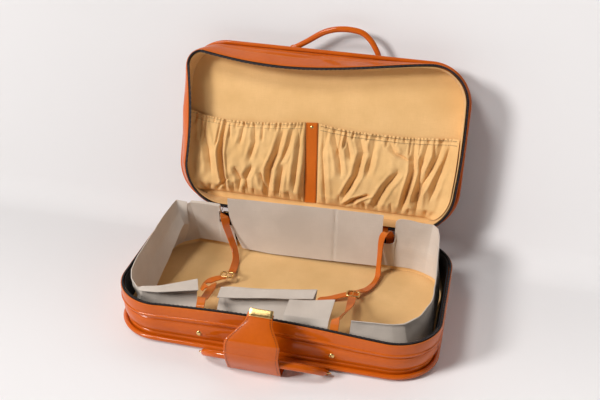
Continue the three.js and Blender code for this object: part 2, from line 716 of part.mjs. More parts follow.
// One shell: panel, piping, wall, rim band, zip tape and teeth, and lining
const zipStart = rearStation(-HINGE_STRIP_WIDTH / 2);
const zipFrom = Math.ceil(zipStart) - STATION_COUNT;
const zipTo = Math.floor(rearStation(HINGE_STRIP_WIDTH / 2));

function addBaseShell() {
  const tabRecess = (x) => boxAt(TAB_WIDTH + 2 * SEAT, TAB_LENGTH + CUT_OVERRUN, 2 * RECESS_DEPTH,
    x, -FOOT_HALF_DEPTH + (TAB_LENGTH - CUT_OVERRUN) / 2, 0);
  const rootRecess = boxAt(LOCK_FLAP_WIDTH + 2 * SEAT, LOCK_FLAP_ROOT_LENGTH + CUT_OVERRUN,
    2 * RECESS_DEPTH,
    LOCK_FLAP_SHIFT, -FOOT_HALF_DEPTH + (LOCK_FLAP_ROOT_LENGTH - CUT_OVERRUN) / 2, 0);
  addPiece(suitcase, 'base_panel', cutWith(baseTray.plate(0, PANEL_THICKNESS, 0),
    [rootRecess, tabRecess(-BASE_HANDLE_SPAN / 2), tabRecess(BASE_HANDLE_SPAN / 2)]), leather);
  addPiece(suitcase, 'base_piping', baseTray.ring(pipingProfile()), leather);
  addPiece(suitcase, 'base_wall', cutWith(baseTray.ring(wallProfile(BASE_HEIGHT, true)), studHoles()),
    leather);
  addPiece(suitcase, 'base_rim_band', baseTray.ring(bandProfile(BASE_HEIGHT)), leather);
  addPiece(suitcase, 'base_zip_tape', baseTray.run(zipFrom, zipTo, tapeProfile(BASE_HEIGHT)), zipCloth);
  addPiece(suitcase, 'base_zip_teeth', baseTray.run(zipFrom, zipTo, teethProfile(BASE_HEIGHT)), zipCloth);
  addPiece(suitcase, 'base_lining_wall', cutWith(baseTray.ring(liningProfile(BASE_HEIGHT)), studHoles()),
    lining);
  addPiece(suitcase, 'base_lining_floor', baseTray.plate(WALL_FOOT, FLOOR_TOP, LINING_OUT), lining);
}

function addLidShell() {
  const from = zipFrom - rearMiddle + baseFrontMiddle;
  addPiece(lidTray, 'lid_panel', lidTrayShape.plate(0, PANEL_THICKNESS, 0), leather);
  addPiece(lidTray, 'lid_piping', lidTrayShape.ring(pipingProfile()), leather);
  addPiece(lidTray, 'lid_wall', lidTrayShape.ring(wallProfile(LID_HEIGHT, false)), leather);
  addPiece(lidTray, 'lid_rim_band', lidTrayShape.ring(bandProfile(LID_HEIGHT)), leather);
  addPiece(lidTray, 'lid_zip_tape', lidTrayShape.run(from, from + zipTo - zipFrom,
    tapeProfile(LID_HEIGHT)), zipCloth);
  addPiece(lidTray, 'lid_zip_teeth', lidTrayShape.run(from, from + zipTo - zipFrom,
    teethProfile(LID_HEIGHT)), zipCloth);
  addPiece(lidTray, 'lid_lining_wall', lidTrayShape.ring(liningProfile(LID_HEIGHT)), lining);
  addPiece(lidTray, 'lid_lining_board', lidTrayShape.plate(WALL_FOOT, FLOOR_TOP, LINING_OUT), lining);
}

function addHingeStrips() {
  const strip = (tray, rimHeight, middle) => {
    const top = rimHeight - TEETH_HEIGHT + SEAT;
    const half = ((HINGE_STRIP_WIDTH / 2 / STRAIGHT_HALF) * SIDE_STEPS[2]) / 2;
    const out = [HINGE_STRIP_OUT, HINGE_STRIP_OUT + HINGE_STRIP_THICKNESS];
    const profile = [[top - HINGE_STRIP_HEIGHT, out[0]], [top - HINGE_STRIP_HEIGHT, out[1]],
      [top, out[1]], [top, out[0]]];
    return skin([-half, half].map((offset) => profile.map(([h, o]) => tray.at(middle + offset, h, o))),
      false);
  };
  const roll = rollAlongX(HINGE_ROLL_RADIUS, HINGE_STRIP_WIDTH, new THREE.Vector3(0, HINGE_Y, HINGE_Z));
  const baseStrip = joined(strip(baseTray, BASE_HEIGHT + HINGE_STRIP_LAP, rearMiddle), roll);
  addPiece(suitcase, 'base_hinge_strip', baseStrip, leather);
  addPiece(lidTray, 'lid_hinge_strip', strip(lidTrayShape, LID_HEIGHT, baseFrontMiddle), leather);
}

// Value of a table of shares at a place from 0 to 1 along it
function shareAt(shares, place) {
  const step = place * (shares.length - 1);
  const low = Math.min(Math.floor(step), shares.length - 2);
  return THREE.MathUtils.lerp(shares[low], shares[low + 1], step - low);
}

// Stiff cloth flap wrapped round one end of the base, from one wall round to the other. Its
// top edge flares out at a folded corner and leans in where the flap is slack.
function wrapFlap(from, to, height, heightShares, flareShares) {
  const low = FLOOR_TOP + FLAP_LIFT;
  const out = LINING_OUT - LINING_THICKNESS - FLAP_INSET;
  const grid = [];
  const count = Math.round(to - from);
  for (let i = 0; i <= count; i += 1) {
    const station = THREE.MathUtils.lerp(from, to, i / count);
    const top = height * shareAt(heightShares, i / count);
    const flare = FLAP_FLARE * shareAt(flareShares, i / count);
    const waist = top > BASE_HEIGHT + FLAP_CLOTH ? BASE_HEIGHT : BASE_HEIGHT * FLAP_WAIST_SHARE;
    grid.push([[low, 0], [waist, Math.min(0, flare / 2)], [top, flare]].map(([z, lean]) => {
      const point = baseTray.at(station, Math.min(z, BASE_HEIGHT / 2), out + lean);
      return new THREE.Vector3(point.x, point.y, z);
    }));
  }
  return sheet(grid, FLAP_CLOTH);
}

function addEndFlaps() {
  const flapEnd = SIDE_FLAP_END_SHARE * STRAIGHT_HALF;
  const clearance = STRAP_WIDTH / 2 + FLAP_STRAP_GAP;
  const [leftStart, rightStart] = straps.map(({ rearX }) => rearX + Math.sign(rearX) * clearance);
  addPiece(suitcase, 'left_flap', wrapFlap(rearStation(leftStart), frontStation(-flapEnd) + STATION_COUNT,
    LEFT_FLAP_HEIGHT, LEFT_FLAP_SHARES, LEFT_FLARE_SHARES), stiffCloth);
  addPiece(suitcase, 'right_flap', wrapFlap(frontStation(flapEnd), rearStation(rightStart),
    RIGHT_FLAP_HEIGHT, RIGHT_FLAP_SHARES, RIGHT_FLARE_SHARES), stiffCloth);
}

const flapLow = FLOOR_TOP + FLAP_LIFT;
const innerWallY = FOOT_HALF_DEPTH + LINING_OUT - LINING_THICKNESS;

function addRearFlap() {
  const y = innerWallY - REAR_FLAP_STANDOFF;
  const edgeLeft = straps[0].rearX + STRAP_WIDTH * REAR_FLAP_OVERLAP_SHARES[0];
  const edgeRight = straps[1].rearX - STRAP_WIDTH * REAR_FLAP_OVERLAP_SHARES[1];
  const grid = [0, 0.5, 1].map((share) => {
    const left = edgeLeft + REAR_FLAP_TAPER * (1 - share) ** 2;
    return [0, 0.5, 1].map((across) => new THREE.Vector3(THREE.MathUtils.lerp(left, edgeRight, across),
      y + REAR_FLAP_LEAN * share, flapLow + REAR_FLAP_HEIGHT * share));
  });
  addPiece(suitcase, 'rear_flap', sheet(grid, FLAP_CLOTH), stiffCloth);
}

// Front flap leaning into the case, its right end furthest back and its top edge folded forward
function addFrontFlap() {
  const y = FRONT_FLAP_STANDOFF - innerWallY;
  const rows = FRONT_FLAP_ROW_SHARES.map(([up, lean, fold]) => [0, 0.5,
    1].map((across) => new THREE.Vector3(
    FRONT_FLAP_SHIFT + (across - 0.5) * FRONT_FLAP_WIDTH,
    y + lean * THREE.MathUtils.lerp(FRONT_FLAP_LEFT_LEAN, FRONT_FLAP_RIGHT_LEAN,
      across) - fold * FRONT_FLAP_FOLD,
    THREE.MathUtils.lerp(flapLow + FLAP_CLOTH / 2, FRONT_FLAP_HEIGHT, up),
  )));
  addPiece(suitcase, 'front_flap', sheet(rows, FLAP_CLOTH), stiffCloth);
}

// Tab beside it: up the wall to the rim, then in over the front flap
function addFrontFlapTab() {
  const y = FRONT_TAB_STANDOFF - innerWallY;
  const top = BASE_HEIGHT + FLAP_CLOTH;
  const rows = FRONT_TAB_ROW_SHARES.map(([up, along]) => [0, 0.5, 1].map((across) => new THREE.Vector3(
    FRONT_TAB_SHIFT + (across - 0.5) * FRONT_TAB_WIDTH,
    y + along * (FRONT_TAB_LENGTH + FRONT_TAB_SKEW * across),
    THREE.MathUtils.lerp(flapLow, top, up) + along * FRONT_TAB_RISE,
  )));
  addPiece(suitcase, 'front_flap_tab', sheet(rows, FLAP_CLOTH), stiffCloth);
}

// Tie-down straps: each has a rear half from the rear stud and a front half from the front
// stud, which meet at a buckle over the floor.
function strapPath(rows, run, fall) {
  return rows.map(([across, along, down]) => new THREE.Vector3(across * STRAIGHT_HALF,
    THREE.MathUtils.lerp(run[0], run[1], along), THREE.MathUtils.lerp(fall[0], fall[1], down)));
}

// Spare end of the right strap, under its buckle and out to the left over the floor
function addStrapTail() {
  const { buckleX } = straps[1];
  const under = BUCKLE_Z - BUCKLE_WIRE - SEAT - STRAP_THICKNESS / 2;
  const grid = TAIL_PATH_SHARES.map(([across, forward, down]) => [1, -1].map((edge) => new THREE.Vector3(
    buckleX + BUCKLE_WIDTH / 2 - across * TAIL_LENGTH,
    BUCKLE_Y - forward * TAIL_DRIFT + (edge * TAIL_WIDTH) / 2,
    THREE.MathUtils.lerp(under, FLOOR_TOP + STRAP_THICKNESS, down),
  )));
  addPiece(suitcase, 'right_strap_tail', sheet(grid, STRAP_THICKNESS), leather);
}

function addStraps() {
  const low = STUD_HEIGHT - STRAP_WIDTH / 2;
  const barHalf = BUCKLE_LENGTH / 2 + BUCKLE_WIRE + SEAT;
  for (const { side, frontX, rearX, buckleX, frontShares, rearShares } of straps) {
    const frontY = strapWallY(frontStation(frontX), -1);
    const rearY = strapWallY(rearStation(rearX), 1);
    const front = [
      new THREE.Vector3(frontX, frontY, low),
      new THREE.Vector3(frontX, frontY, STUD_HEIGHT),
      new THREE.Vector3(frontX, frontY, STUD_HEIGHT + STRAP_WIDTH),
      new THREE.Vector3(frontX, frontY, BASE_HEIGHT - STRAP_THICKNESS * 2),
      new THREE.Vector3(frontX, frontY + STRAP_WIDTH * 0.4, BASE_HEIGHT + STRAP_THICKNESS),
      new THREE.Vector3(frontX, frontY + STRAP_WIDTH, BASE_HEIGHT),
      ...strapPath(frontShares, [frontY, BUCKLE_Y - barHalf], [BASE_HEIGHT, FLOOR_TOP]),
      new THREE.Vector3(buckleX, BUCKLE_Y - barHalf, BUCKLE_Z),
    ];
    const rear = [
      new THREE.Vector3(rearX, rearY, STRAP_REAR_TOP),
      new THREE.Vector3(rearX, rearY, REAR_STUD_HEIGHT),
      new THREE.Vector3(rearX, rearY, REAR_STUD_HEIGHT - STRAP_WIDTH / 2),
      ...strapPath(rearShares, [rearY, BUCKLE_Y + barHalf], [STRAP_REAR_TOP, FLOOR_TOP]),
      new THREE.Vector3(buckleX, BUCKLE_Y + barHalf, BUCKLE_Z),
    ];
    const halves = [front, rear].map((path) => riveted(strapAlong(path, STRAP_WIDTH, STRAP_THICKNESS,
      STRAP_STEPS)));
    addPiece(suitcase, `${side}_strap_front`, halves[0], leather);
    addPiece(suitcase, `${side}_strap_rear`, halves[1], leather);
    const frame = wireFrame(BUCKLE_WIDTH, BUCKLE_LENGTH, BUCKLE_CORNER, BUCKLE_WIRE).rotateX(Math.PI / 2);
    addPiece(suitcase, `${side}_buckle`, frame.translate(buckleX, BUCKLE_Y, BUCKLE_Z), brass);
    const prong = new THREE.CylinderGeometry(PRONG_RADIUS, PRONG_RADIUS, BUCKLE_LENGTH, WIRE_SIDES);
    const lift = BUCKLE_WIRE + PRONG_RADIUS + SEAT;
    addPiece(suitcase, `${side}_buckle_prong`, merged(prong).translate(buckleX, BUCKLE_Y,
      BUCKLE_Z + lift), brass);
  }
  addStrapTail();
  for (const [name, x, facing] of studs) {
    addPiece(suitcase, name, studAt(x, facing), brass);
  }
}

// Lock flap: a root strip let into the panel's underside, then a lower and an upper part that
// fold at a crease, and a brass cap with its tongue at the end.
const flapRootY = -FOOT_HALF_DEPTH - FOOT_INSET;
const flapRootZ = SEAT + LOCK_FLAP_THICKNESS / 2;
const foldReach = LOCK_FLAP_THICKNESS / 2 + SEAT;
const flapCrease = new THREE.Vector2(flapRootY - LOCK_FLAP_REACH, LOCK_FLAP_CREASE_HEIGHT);
const flapNeck = new THREE.Vector2(flapCrease.x + LOCK_FLAP_UPPER_RUN, flapCrease.y + LOCK_FLAP_UPPER_RUN);

function addLockFlap() {
  const rows = (points, widths) => points.map((point, i) => [-1, 0, 1].map((side) => new THREE.Vector3(
    LOCK_FLAP_SHIFT + (side * widths[i]) / 2, point.x, point.y)));
  const rootPoints = [
    new THREE.Vector2(-FOOT_HALF_DEPTH + LOCK_FLAP_ROOT_LENGTH - SEAT, flapRootZ),
    new THREE.Vector2(flapRootY + foldReach, flapRootZ),
  ];
  addPiece(suitcase, 'lock_flap_root', sheet(rows(rootPoints, [LOCK_FLAP_WIDTH, LOCK_FLAP_WIDTH]),
    LOCK_FLAP_THICKNESS), leather);

  const foot = new THREE.Vector2(flapRootY - LOCK_FLAP_FOOT, flapRootZ);
  const lowerPath = [new THREE.Vector2(flapRootY, flapRootZ),
    foot.clone().lerp(new THREE.Vector2(flapRootY, flapRootZ), 0.15)];
  for (let i = 0; i <= LOCK_FLAP_STEPS; i += 1) {
    const share = i / LOCK_FLAP_STEPS;
    const point = foot.clone().lerp(flapCrease, share);
    point.x -= LOCK_FLAP_BELLY * Math.sin(Math.PI * share);
    point.y += share === 0 ? LOCK_FLAP_THICKNESS : 0;
    lowerPath.push(point);
  }
  const last = lowerPath.at(-1);
  last.add(lowerPath.at(-2).clone().sub(last).setLength(foldReach));
  const lowerWidths = lowerPath.map(() => LOCK_FLAP_WIDTH);
  const fold = (point, width) => rollAlongX(LOCK_FLAP_THICKNESS / 2, width,
    new THREE.Vector3(LOCK_FLAP_SHIFT, point.x, point.y));
  const lower = joined(sheet(rows(lowerPath, lowerWidths), LOCK_FLAP_THICKNESS),
    fold(new THREE.Vector2(flapRootY, flapRootZ), LOCK_FLAP_WIDTH));
  addPiece(suitcase, 'lock_flap_lower', lower, leather);

  const direction = flapNeck.clone().sub(flapCrease).normalize();
  const upperEnd = flapNeck.clone().addScaledVector(direction, -foldReach);
  const upperPath = [0, 0.3, 0.65, 1].map((share) => flapCrease.clone().lerp(upperEnd, share));
  const upperWidths = [LOCK_FLAP_WIDTH, LOCK_FLAP_WIDTH * 0.92,
    (LOCK_FLAP_WIDTH + LOCK_FLAP_NECK_WIDTH) / 2,
    LOCK_FLAP_NECK_WIDTH];
  const upper = joined(sheet(rows(upperPath, upperWidths), LOCK_FLAP_THICKNESS), fold(flapCrease,
    LOCK_FLAP_WIDTH));
  addPiece(suitcase, 'lock_flap_upper', upper, leather);

  const capStart = LOCK_FLAP_THICKNESS / 2;
  const cap = boxAt(CAP_WIDTH, CAP_LENGTH, CAP_THICKNESS, 0, capStart + CAP_LENGTH / 2, 0);
  const neck = boxAt(CAP_WIDTH, CAP_LENGTH / 2, LOCK_FLAP_THICKNESS, 0, CAP_LENGTH / 4, 0);
  const tongue = boxAt(TONGUE_WIDTH, TONGUE_LENGTH + CAP_LENGTH / 2, TONGUE_THICKNESS,
    0, capStart + CAP_LENGTH * 0.75 + TONGUE_LENGTH / 2, 0);
  const nose = rollAlongX(capStart, CAP_WIDTH, new THREE.Vector3());
  const whole = [neck, tongue, nose].reduce((body, next) => joined(body, next), merged(cap));
  whole.rotateX(Math.atan2(direction.y, direction.x));
  addPiece(suitcase, 'lock_flap_cap', whole.translate(LOCK_FLAP_SHIFT, flapNeck.x, flapNeck.y), brass);
}

// Handle with its rings, in its own plane: the rings' bars lie on X, the grip stands up +Z.
function addHandle(parent, prefix, place, lift, tabRoot, { span, height, shares }) {
  const gripFoot = RING_LENGTH + RING_WIRE + SEAT;
  const points = shares.map(([across, up]) => new THREE.Vector3((across * span) / 2, 0,
    gripFoot + up * height));
  const radiusAt = (share) => THREE.MathUtils.lerp(HANDLE_END_RADIUS, HANDLE_GRIP_RADIUS,
    Math.sin(Math.PI * share) ** 0.7);
  const handle = new THREE.Group();
  handle.position.copy(place);
  handle.rotation.x = lift;
  parent.add(handle);
  addPiece(handle, `${prefix}_handle_grip`, roundTube(points, radiusAt), leather);
  for (const [side, sign] of [['left', -1], ['right', 1]]) {
    const ring = wireFrame(RING_WIDTH, RING_LENGTH, RING_CORNER, RING_WIRE);
    ring.translate((sign * span) / 2, 0, RING_LENGTH / 2);
    addPiece(handle, `${prefix}_${side}_ring`, ring, brass);
    const tab = handleTab(place.x + (sign * span) / 2, place, tabRoot);
    addPiece(parent, `${prefix}_${side}_tab`, tab, leather);
  }
}

// Leather tab from its root under the panel to a curl round the ring's lower bar
function handleTab(x, bar, root) {
  const curl = RING_WIRE + TAB_CURL_CLEARANCE + TAB_THICKNESS / 2;
  const away = Math.sign(bar.y - root.y);
  const under = Math.sign(root.z - bar.z);
  const path = [[root.y, root.z]];
  for (let i = 0; i <= CURL_STEPS; i += 1) {
    const turn = (Math.PI * CURL_TURN_SHARE * i) / CURL_STEPS;
    path.push([bar.y + away * curl * Math.sin(turn), bar.z + under * curl * Math.cos(turn)]);
  }
  const grid = path.map(([y, z]) => [-1, 1].map((side) => new THREE.Vector3(x + (side * TAB_WIDTH) / 2,
    y, z)));
  return sheet(grid, TAB_THICKNESS);
}

function addHandles() {
  const curl = RING_WIRE + TAB_CURL_CLEARANCE + TAB_THICKNESS / 2;
  const footY = FOOT_HALF_DEPTH + FOOT_INSET;
  const baseBar = new THREE.Vector3(0, -footY - BASE_RING_OUTSET, SEAT + TAB_THICKNESS / 2 + curl);
  const baseRoot = { y: -FOOT_HALF_DEPTH + TAB_LENGTH - SEAT, z: SEAT + TAB_THICKNESS / 2 };
  addHandle(suitcase, 'base', baseBar, Math.PI / 2 - THREE.MathUtils.degToRad(BASE_HANDLE_DEGREES),
    baseRoot,
    { span: BASE_HANDLE_SPAN, height: BASE_HANDLE_HEIGHT, shares: BASE_ARCH_SHARES });

  const faceZ = -SEAT - TAB_THICKNESS / 2;
  const lidBar = new THREE.Vector3(LID_HANDLE_SHIFT, footY - LID_RING_INSET, faceZ - curl);
  const lidRoot = { y: lidBar.y - TAB_LENGTH, z: faceZ };
  addHandle(lidTray, 'lid', lidBar, -Math.PI / 2, lidRoot,
    { span: LID_HANDLE_SPAN, height: LID_HANDLE_HEIGHT, shares: LID_ARCH_SHARES });
}

// Keeper on the lid's outer face: a brass box whose mouth takes the flap's tongue, with a
// sliding release on top.
function addKeeper() {
  const y = FOOT_HALF_DEPTH + FOOT_INSET - KEEPER_SETBACK - KEEPER_LENGTH / 2;
  const body = boxAt(KEEPER_WIDTH, KEEPER_LENGTH, KEEPER_HEIGHT, LOCK_FLAP_SHIFT, y,
    -SEAT - KEEPER_HEIGHT / 2);
  const mouthHeight = TONGUE_THICKNESS + 2 * KEEPER_MOUTH_CLEARANCE;
  const mouth = boxAt(TONGUE_WIDTH + 2 * KEEPER_MOUTH_CLEARANCE, KEEPER_LENGTH, mouthHeight,
    LOCK_FLAP_SHIFT, y + KEEPER_LENGTH / 3, -SEAT - KEEPER_HEIGHT / 2);
  const track = boxAt(RELEASE_WIDTH * 2, RELEASE_LENGTH + 2 * SEAT, RELEASE_HEIGHT,
    LOCK_FLAP_SHIFT, y - KEEPER_LENGTH / 4, -SEAT - KEEPER_HEIGHT);
  addPiece(lidTray, 'lock_keeper', cutWith(merged(body), [mouth, track]), brass);
  const release = boxAt(RELEASE_WIDTH, RELEASE_LENGTH, RELEASE_HEIGHT,
    LOCK_FLAP_SHIFT - RELEASE_WIDTH / 2 + SEAT,
    y - KEEPER_LENGTH / 4, -KEEPER_HEIGHT - 2 * SEAT);
  addPiece(lidTray, 'lock_release', merged(release), brass);
}

// Half width of the lining board at a distance across it, inside its rounded corners
function boardHalfWidth(y) {
  const radius = FOOT_RADIUS - POCKET_SIDE_MARGIN;
  const past = Math.max(0, Math.abs(y) - (FOOT_HALF_DEPTH - FOOT_RADIUS));
  return STRAIGHT_HALF + Math.sqrt(Math.max(0, radius ** 2 - past ** 2));
}

// Gathered pocket on the lid's lining board: sewn at its sides and bottom, open at the top.
// `side` is -1 for the left pocket, which runs out to the left from the centre strap.
function pocket(side, innerX, phase) {
  const grid = [];
  const seat = FLOOR_TOP + SEAT + POCKET_CLOTH / 2;
  for (let i = 0; i <= POCKET_COLUMNS; i += 1) {
    const across = i / POCKET_COLUMNS;
    const column = [];
    for (let j = 0; j <= POCKET_ROWS; j += 1) {
      const up = j / POCKET_ROWS;
      const y = THREE.MathUtils.lerp(-POCKET_BOTTOM, POCKET_TOP, up);
      const edge = Math.sin(Math.PI * across) ** 0.6 * Math.min(1, up * 3.2);
      const belly = POCKET_BULGE * Math.sin(Math.PI * Math.min(1, 0.25 + up * 0.75)) ** 0.8;
      const wave = Math.sin(2 * Math.PI * (POCKET_FOLDS * across + phase) + 1.7 * Math.sin(3 * up + phase));
      const lift = edge * (belly + POCKET_MOUTH * up + POCKET_FOLD_DEPTH * wave * (0.45 + 0.55 * up));
      column.push(new THREE.Vector3(THREE.MathUtils.lerp(innerX, side * boardHalfWidth(y), across), y,
        seat + Math.max(0, lift)));
    }
    grid.push(column);
  }
  return sheet(grid, POCKET_CLOTH);
}

function addLidFittings() {
  const strapLeft = CENTRE_STRAP_SHIFT - CENTRE_STRAP_WIDTH / 2 - POCKET_CENTRE_GAP;
  const strapRight = CENTRE_STRAP_SHIFT + CENTRE_STRAP_WIDTH / 2 + POCKET_CENTRE_GAP;
  addPiece(lidTray, 'lid_left_pocket', pocket(-1, strapLeft, 0.15), lining);
  addPiece(lidTray, 'lid_right_pocket', pocket(1, strapRight, 0.6), lining);
  const seat = FLOOR_TOP + SEAT;
  addPiece(lidTray, 'lid_centre_strap', merged(boxAt(CENTRE_STRAP_WIDTH, POCKET_TOP + POCKET_BOTTOM,
    CENTRE_STRAP_THICKNESS, CENTRE_STRAP_SHIFT, (POCKET_TOP - POCKET_BOTTOM) / 2,
      seat + CENTRE_STRAP_THICKNESS / 2)), leather);
  const top = seat + CENTRE_STRAP_THICKNESS + SEAT;
  const rivet = new THREE.LatheGeometry([
    new THREE.Vector2(0, 0), new THREE.Vector2(RIVET_RADIUS, 0),
    new THREE.Vector2(RIVET_RADIUS * 0.7, RIVET_DOME * 0.7), new THREE.Vector2(0, RIVET_DOME)], TUBE_SIDES);
  addPiece(lidTray, 'lid_strap_rivet', merged(rivet).rotateX(Math.PI / 2)
    .translate(CENTRE_STRAP_SHIFT, POCKET_TOP - RIVET_SETBACK, top), brass);
}

// Zip sliders at the two rear ends of the zip, each with its pull hanging outside
function addZipSliders() {
  for (const [side, sign] of [['left', -1], ['right', 1]]) {
    const x = sign * (HINGE_STRIP_WIDTH / 2 + SLIDER_SETBACK);
    const teethFace = baseTray.at(rearStation(x), BASE_HEIGHT,
      (TEETH_THICKNESS - TAPE_THICKNESS) / 2 - TAPE_INSET).y;
    const y = teethFace + SEAT + SLIDER_DEPTH / 2;
    const z = BASE_HEIGHT - SEAT - SLIDER_HEIGHT / 2;
    addPiece(suitcase, `zip_slider_${side}`, merged(boxAt(SLIDER_LENGTH, SLIDER_DEPTH, SLIDER_HEIGHT, x,
      y, z)), brass);
    const pullY = y + SLIDER_DEPTH / 2 + SEAT + PULL_THICKNESS / 2;
    addPiece(suitcase, `zip_pull_${side}`, merged(boxAt(PULL_WIDTH, PULL_THICKNESS, PULL_LENGTH,
      x, pullY, z - PULL_LENGTH / 2)), brass);
  }
}

addBaseShell();
addLidShell();
addHingeStrips();
addEndFlaps();
addRearFlap();
addFrontFlap();
addFrontFlapTab();
addStraps();
addLockFlap();
addHandles();
addKeeper();
addLidFittings();
addZipSliders();

export default suitcase;
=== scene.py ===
import math
import random

import bmesh
import bpy
import numpy as np
from mathutils import Matrix, Vector, noise


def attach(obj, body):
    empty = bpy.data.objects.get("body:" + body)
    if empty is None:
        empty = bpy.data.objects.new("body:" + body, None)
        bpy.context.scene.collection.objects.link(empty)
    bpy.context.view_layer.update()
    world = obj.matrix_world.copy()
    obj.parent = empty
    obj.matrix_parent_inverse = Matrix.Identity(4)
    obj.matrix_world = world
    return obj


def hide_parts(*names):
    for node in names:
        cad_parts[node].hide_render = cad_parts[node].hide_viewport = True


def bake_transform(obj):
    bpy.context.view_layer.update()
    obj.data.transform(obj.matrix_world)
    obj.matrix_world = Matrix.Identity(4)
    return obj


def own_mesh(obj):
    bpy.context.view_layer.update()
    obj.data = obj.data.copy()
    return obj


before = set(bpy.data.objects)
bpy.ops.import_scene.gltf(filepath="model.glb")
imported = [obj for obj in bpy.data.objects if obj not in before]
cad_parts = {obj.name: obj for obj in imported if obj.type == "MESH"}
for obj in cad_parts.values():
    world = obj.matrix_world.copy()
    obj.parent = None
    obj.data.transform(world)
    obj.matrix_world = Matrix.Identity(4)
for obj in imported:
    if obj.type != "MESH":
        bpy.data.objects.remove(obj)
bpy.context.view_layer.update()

MM = 0.001

# Sizes in millimetres. Heights in a tray start at its outer face, "out" is measured outwards from its wall,
# and the places of straps and buckles are shares of half the straight side.
FOOT_X, FOOT_Y, FOOT_RADIUS = 305.1, 172.1, 82.1
RIM_X, RIM_Y, CORNER = 313.1, 180.1, 92.0
STRAIGHT = FOOT_X - FOOT_RADIUS
BASE_RIM, LID_RIM = 91.0, 61.0
WALL_FOOT, LEAN_START, FLOOR_TOP = 8.3, 14.3, 14.0
HINGE_Y, HINGE_Z, OPEN = 186.3, 91.3, math.radians(110)
CLOSED_TOP = 152.6
BAND_DEPTH, TAPE_DEPTH, LINING_FOOT = 28, 10.7, 14.6
HINGE_HALF = 170
LINING_FRONT = -165.8
SEAT = 0.3
BUCKLE_Y, BUCKLE_Z, BUCKLE_LENGTH, BUCKLE_WIRE = 30, 32, 18, 1.4
REAR_STRAPS, BUCKLES = (-0.825, 0.794), (-0.632, 0.565)
STRAP_WIDTH, STRAP_THICKNESS = 16, 2.2
RING_WIDTH, RING_LENGTH, RING_WIRE = 27, 12, 1.5
TAB_LENGTH, TAB_CURL = 34, 3.2
POCKET_FOOT = -152

# Places round a tray, counted in stations through the corners and the sides in turn
TURN_STEPS, SIDE_STEPS, FINE = 6, (10, 4, 10, 4), 4
STATIONS = TURN_STEPS * 4 + sum(SIDE_STEPS)
FRONT_MIDDLE = TURN_STEPS + SIDE_STEPS[0] / 2
REAR_MIDDLE = TURN_STEPS * 3 + SIDE_STEPS[0] + SIDE_STEPS[1] + SIDE_STEPS[2] / 2


# Materials
def material(name):
    made = bpy.data.materials.new(name)
    made.use_nodes = True
    return made, made.node_tree, made.node_tree.nodes["Principled BSDF"]


def settle(node, **values):
    for key, value in values.items():
        node.inputs[key.replace("_", " ")].default_value = value


def add_node(tree, kind, **values):
    node = tree.nodes.new(kind)
    for key, value in values.items():
        if hasattr(node, key):
            setattr(node, key, value)
        else:
            settle(node, **{key: value})
    return node


def noise_of(tree, coords, scale, detail=3.0, distortion=0.0):
    node = add_node(tree, "ShaderNodeTexNoise", Scale=scale, Detail=detail, Distortion=distortion)
    tree.links.new(coords, node.inputs["Vector"])
    return node.outputs["Fac"]


def ramp(tree, value, low, high, first, second, shape="LINEAR"):
    node = add_node(tree, "ShaderNodeMapRange", interpolation_type=shape, From_Min=low, From_Max=high,
                    To_Min=first, To_Max=second)
    tree.links.new(value, node.inputs["Value"])
    return node.outputs["Result"]


def mix_colour(tree, share, first, second):
    node = add_node(tree, "ShaderNodeMix", data_type="RGBA")
    for socket, value in ((node.inputs[0], share), (node.inputs[6], first), (node.inputs[7], second)):
        if isinstance(value, tuple):
            socket.default_value = (*value, 1)
        else:
            tree.links.new(value, socket)
    return node.outputs[2]


def combine(tree, operation, first, second):
    node = add_node(tree, "ShaderNodeMath", operation=operation)
    tree.links.new(first, node.inputs[0])
    tree.links.new(second, node.inputs[1])
    return node.outputs[0]


def bump_chain(tree, shader, layers):
    before = None
    for height, strength, distance in layers:
        node = add_node(tree, "ShaderNodeBump", Strength=strength, Distance=distance)
        tree.links.new(height, node.inputs["Height"])
        if before:
            tree.links.new(before, node.inputs["Normal"])
        before = node.outputs[0]
    tree.links.new(before, shader.inputs["Normal"])


def leather_material(name, deep, light, worn):
    made, tree, shader = material(name)
    coords = tree.nodes.new("ShaderNodeTexCoord").outputs["Object"]
    broad, fine = noise_of(tree, coords, 9, 4), noise_of(tree, coords, 140, 3)
    colour = mix_colour(tree, ramp(tree, broad, 0.3, 0.7, 0.3, 1), deep, light)
    colour = mix_colour(tree, ramp(tree, fine, 0.4, 0.7, 0, 0.22), colour, deep)
    point = tree.nodes.new("ShaderNodeNewGeometry").outputs["Pointiness"]
    colour = mix_colour(tree, ramp(tree, point, 0.53, 0.62, 0, 0.45), colour, worn)
    # Painted shade: concave hollows and creases are darkened towards a third of the deep colour.
    colour = mix_colour(tree, ramp(tree, point, 0.47, 0.40, 0, 0.6), colour, tuple(c * 0.35 for c in deep))
    tree.links.new(colour, shader.inputs["Base Color"])
    tree.links.new(ramp(tree, noise_of(tree, coords, 24, 5), 0.3, 0.7, 0.3, 0.46), shader.inputs["Roughness"])
    settle(shader, Specular_IOR_Level=0.08, Coat_Weight=0.62, Coat_Roughness=0.1)
    grain = add_node(tree, "ShaderNodeTexVoronoi", feature="DISTANCE_TO_EDGE", Scale=620.0)
    tree.links.new(coords, grain.inputs["Vector"])
    bump_chain(tree, shader, [(noise_of(tree, coords, 18, 4, 0.6), 0.25, 0.004),
                              (noise_of(tree, coords, 75, 4), 0.16, 0.0012),
                              (grain.outputs["Distance"], 0.22, 0.0004)])
    return made


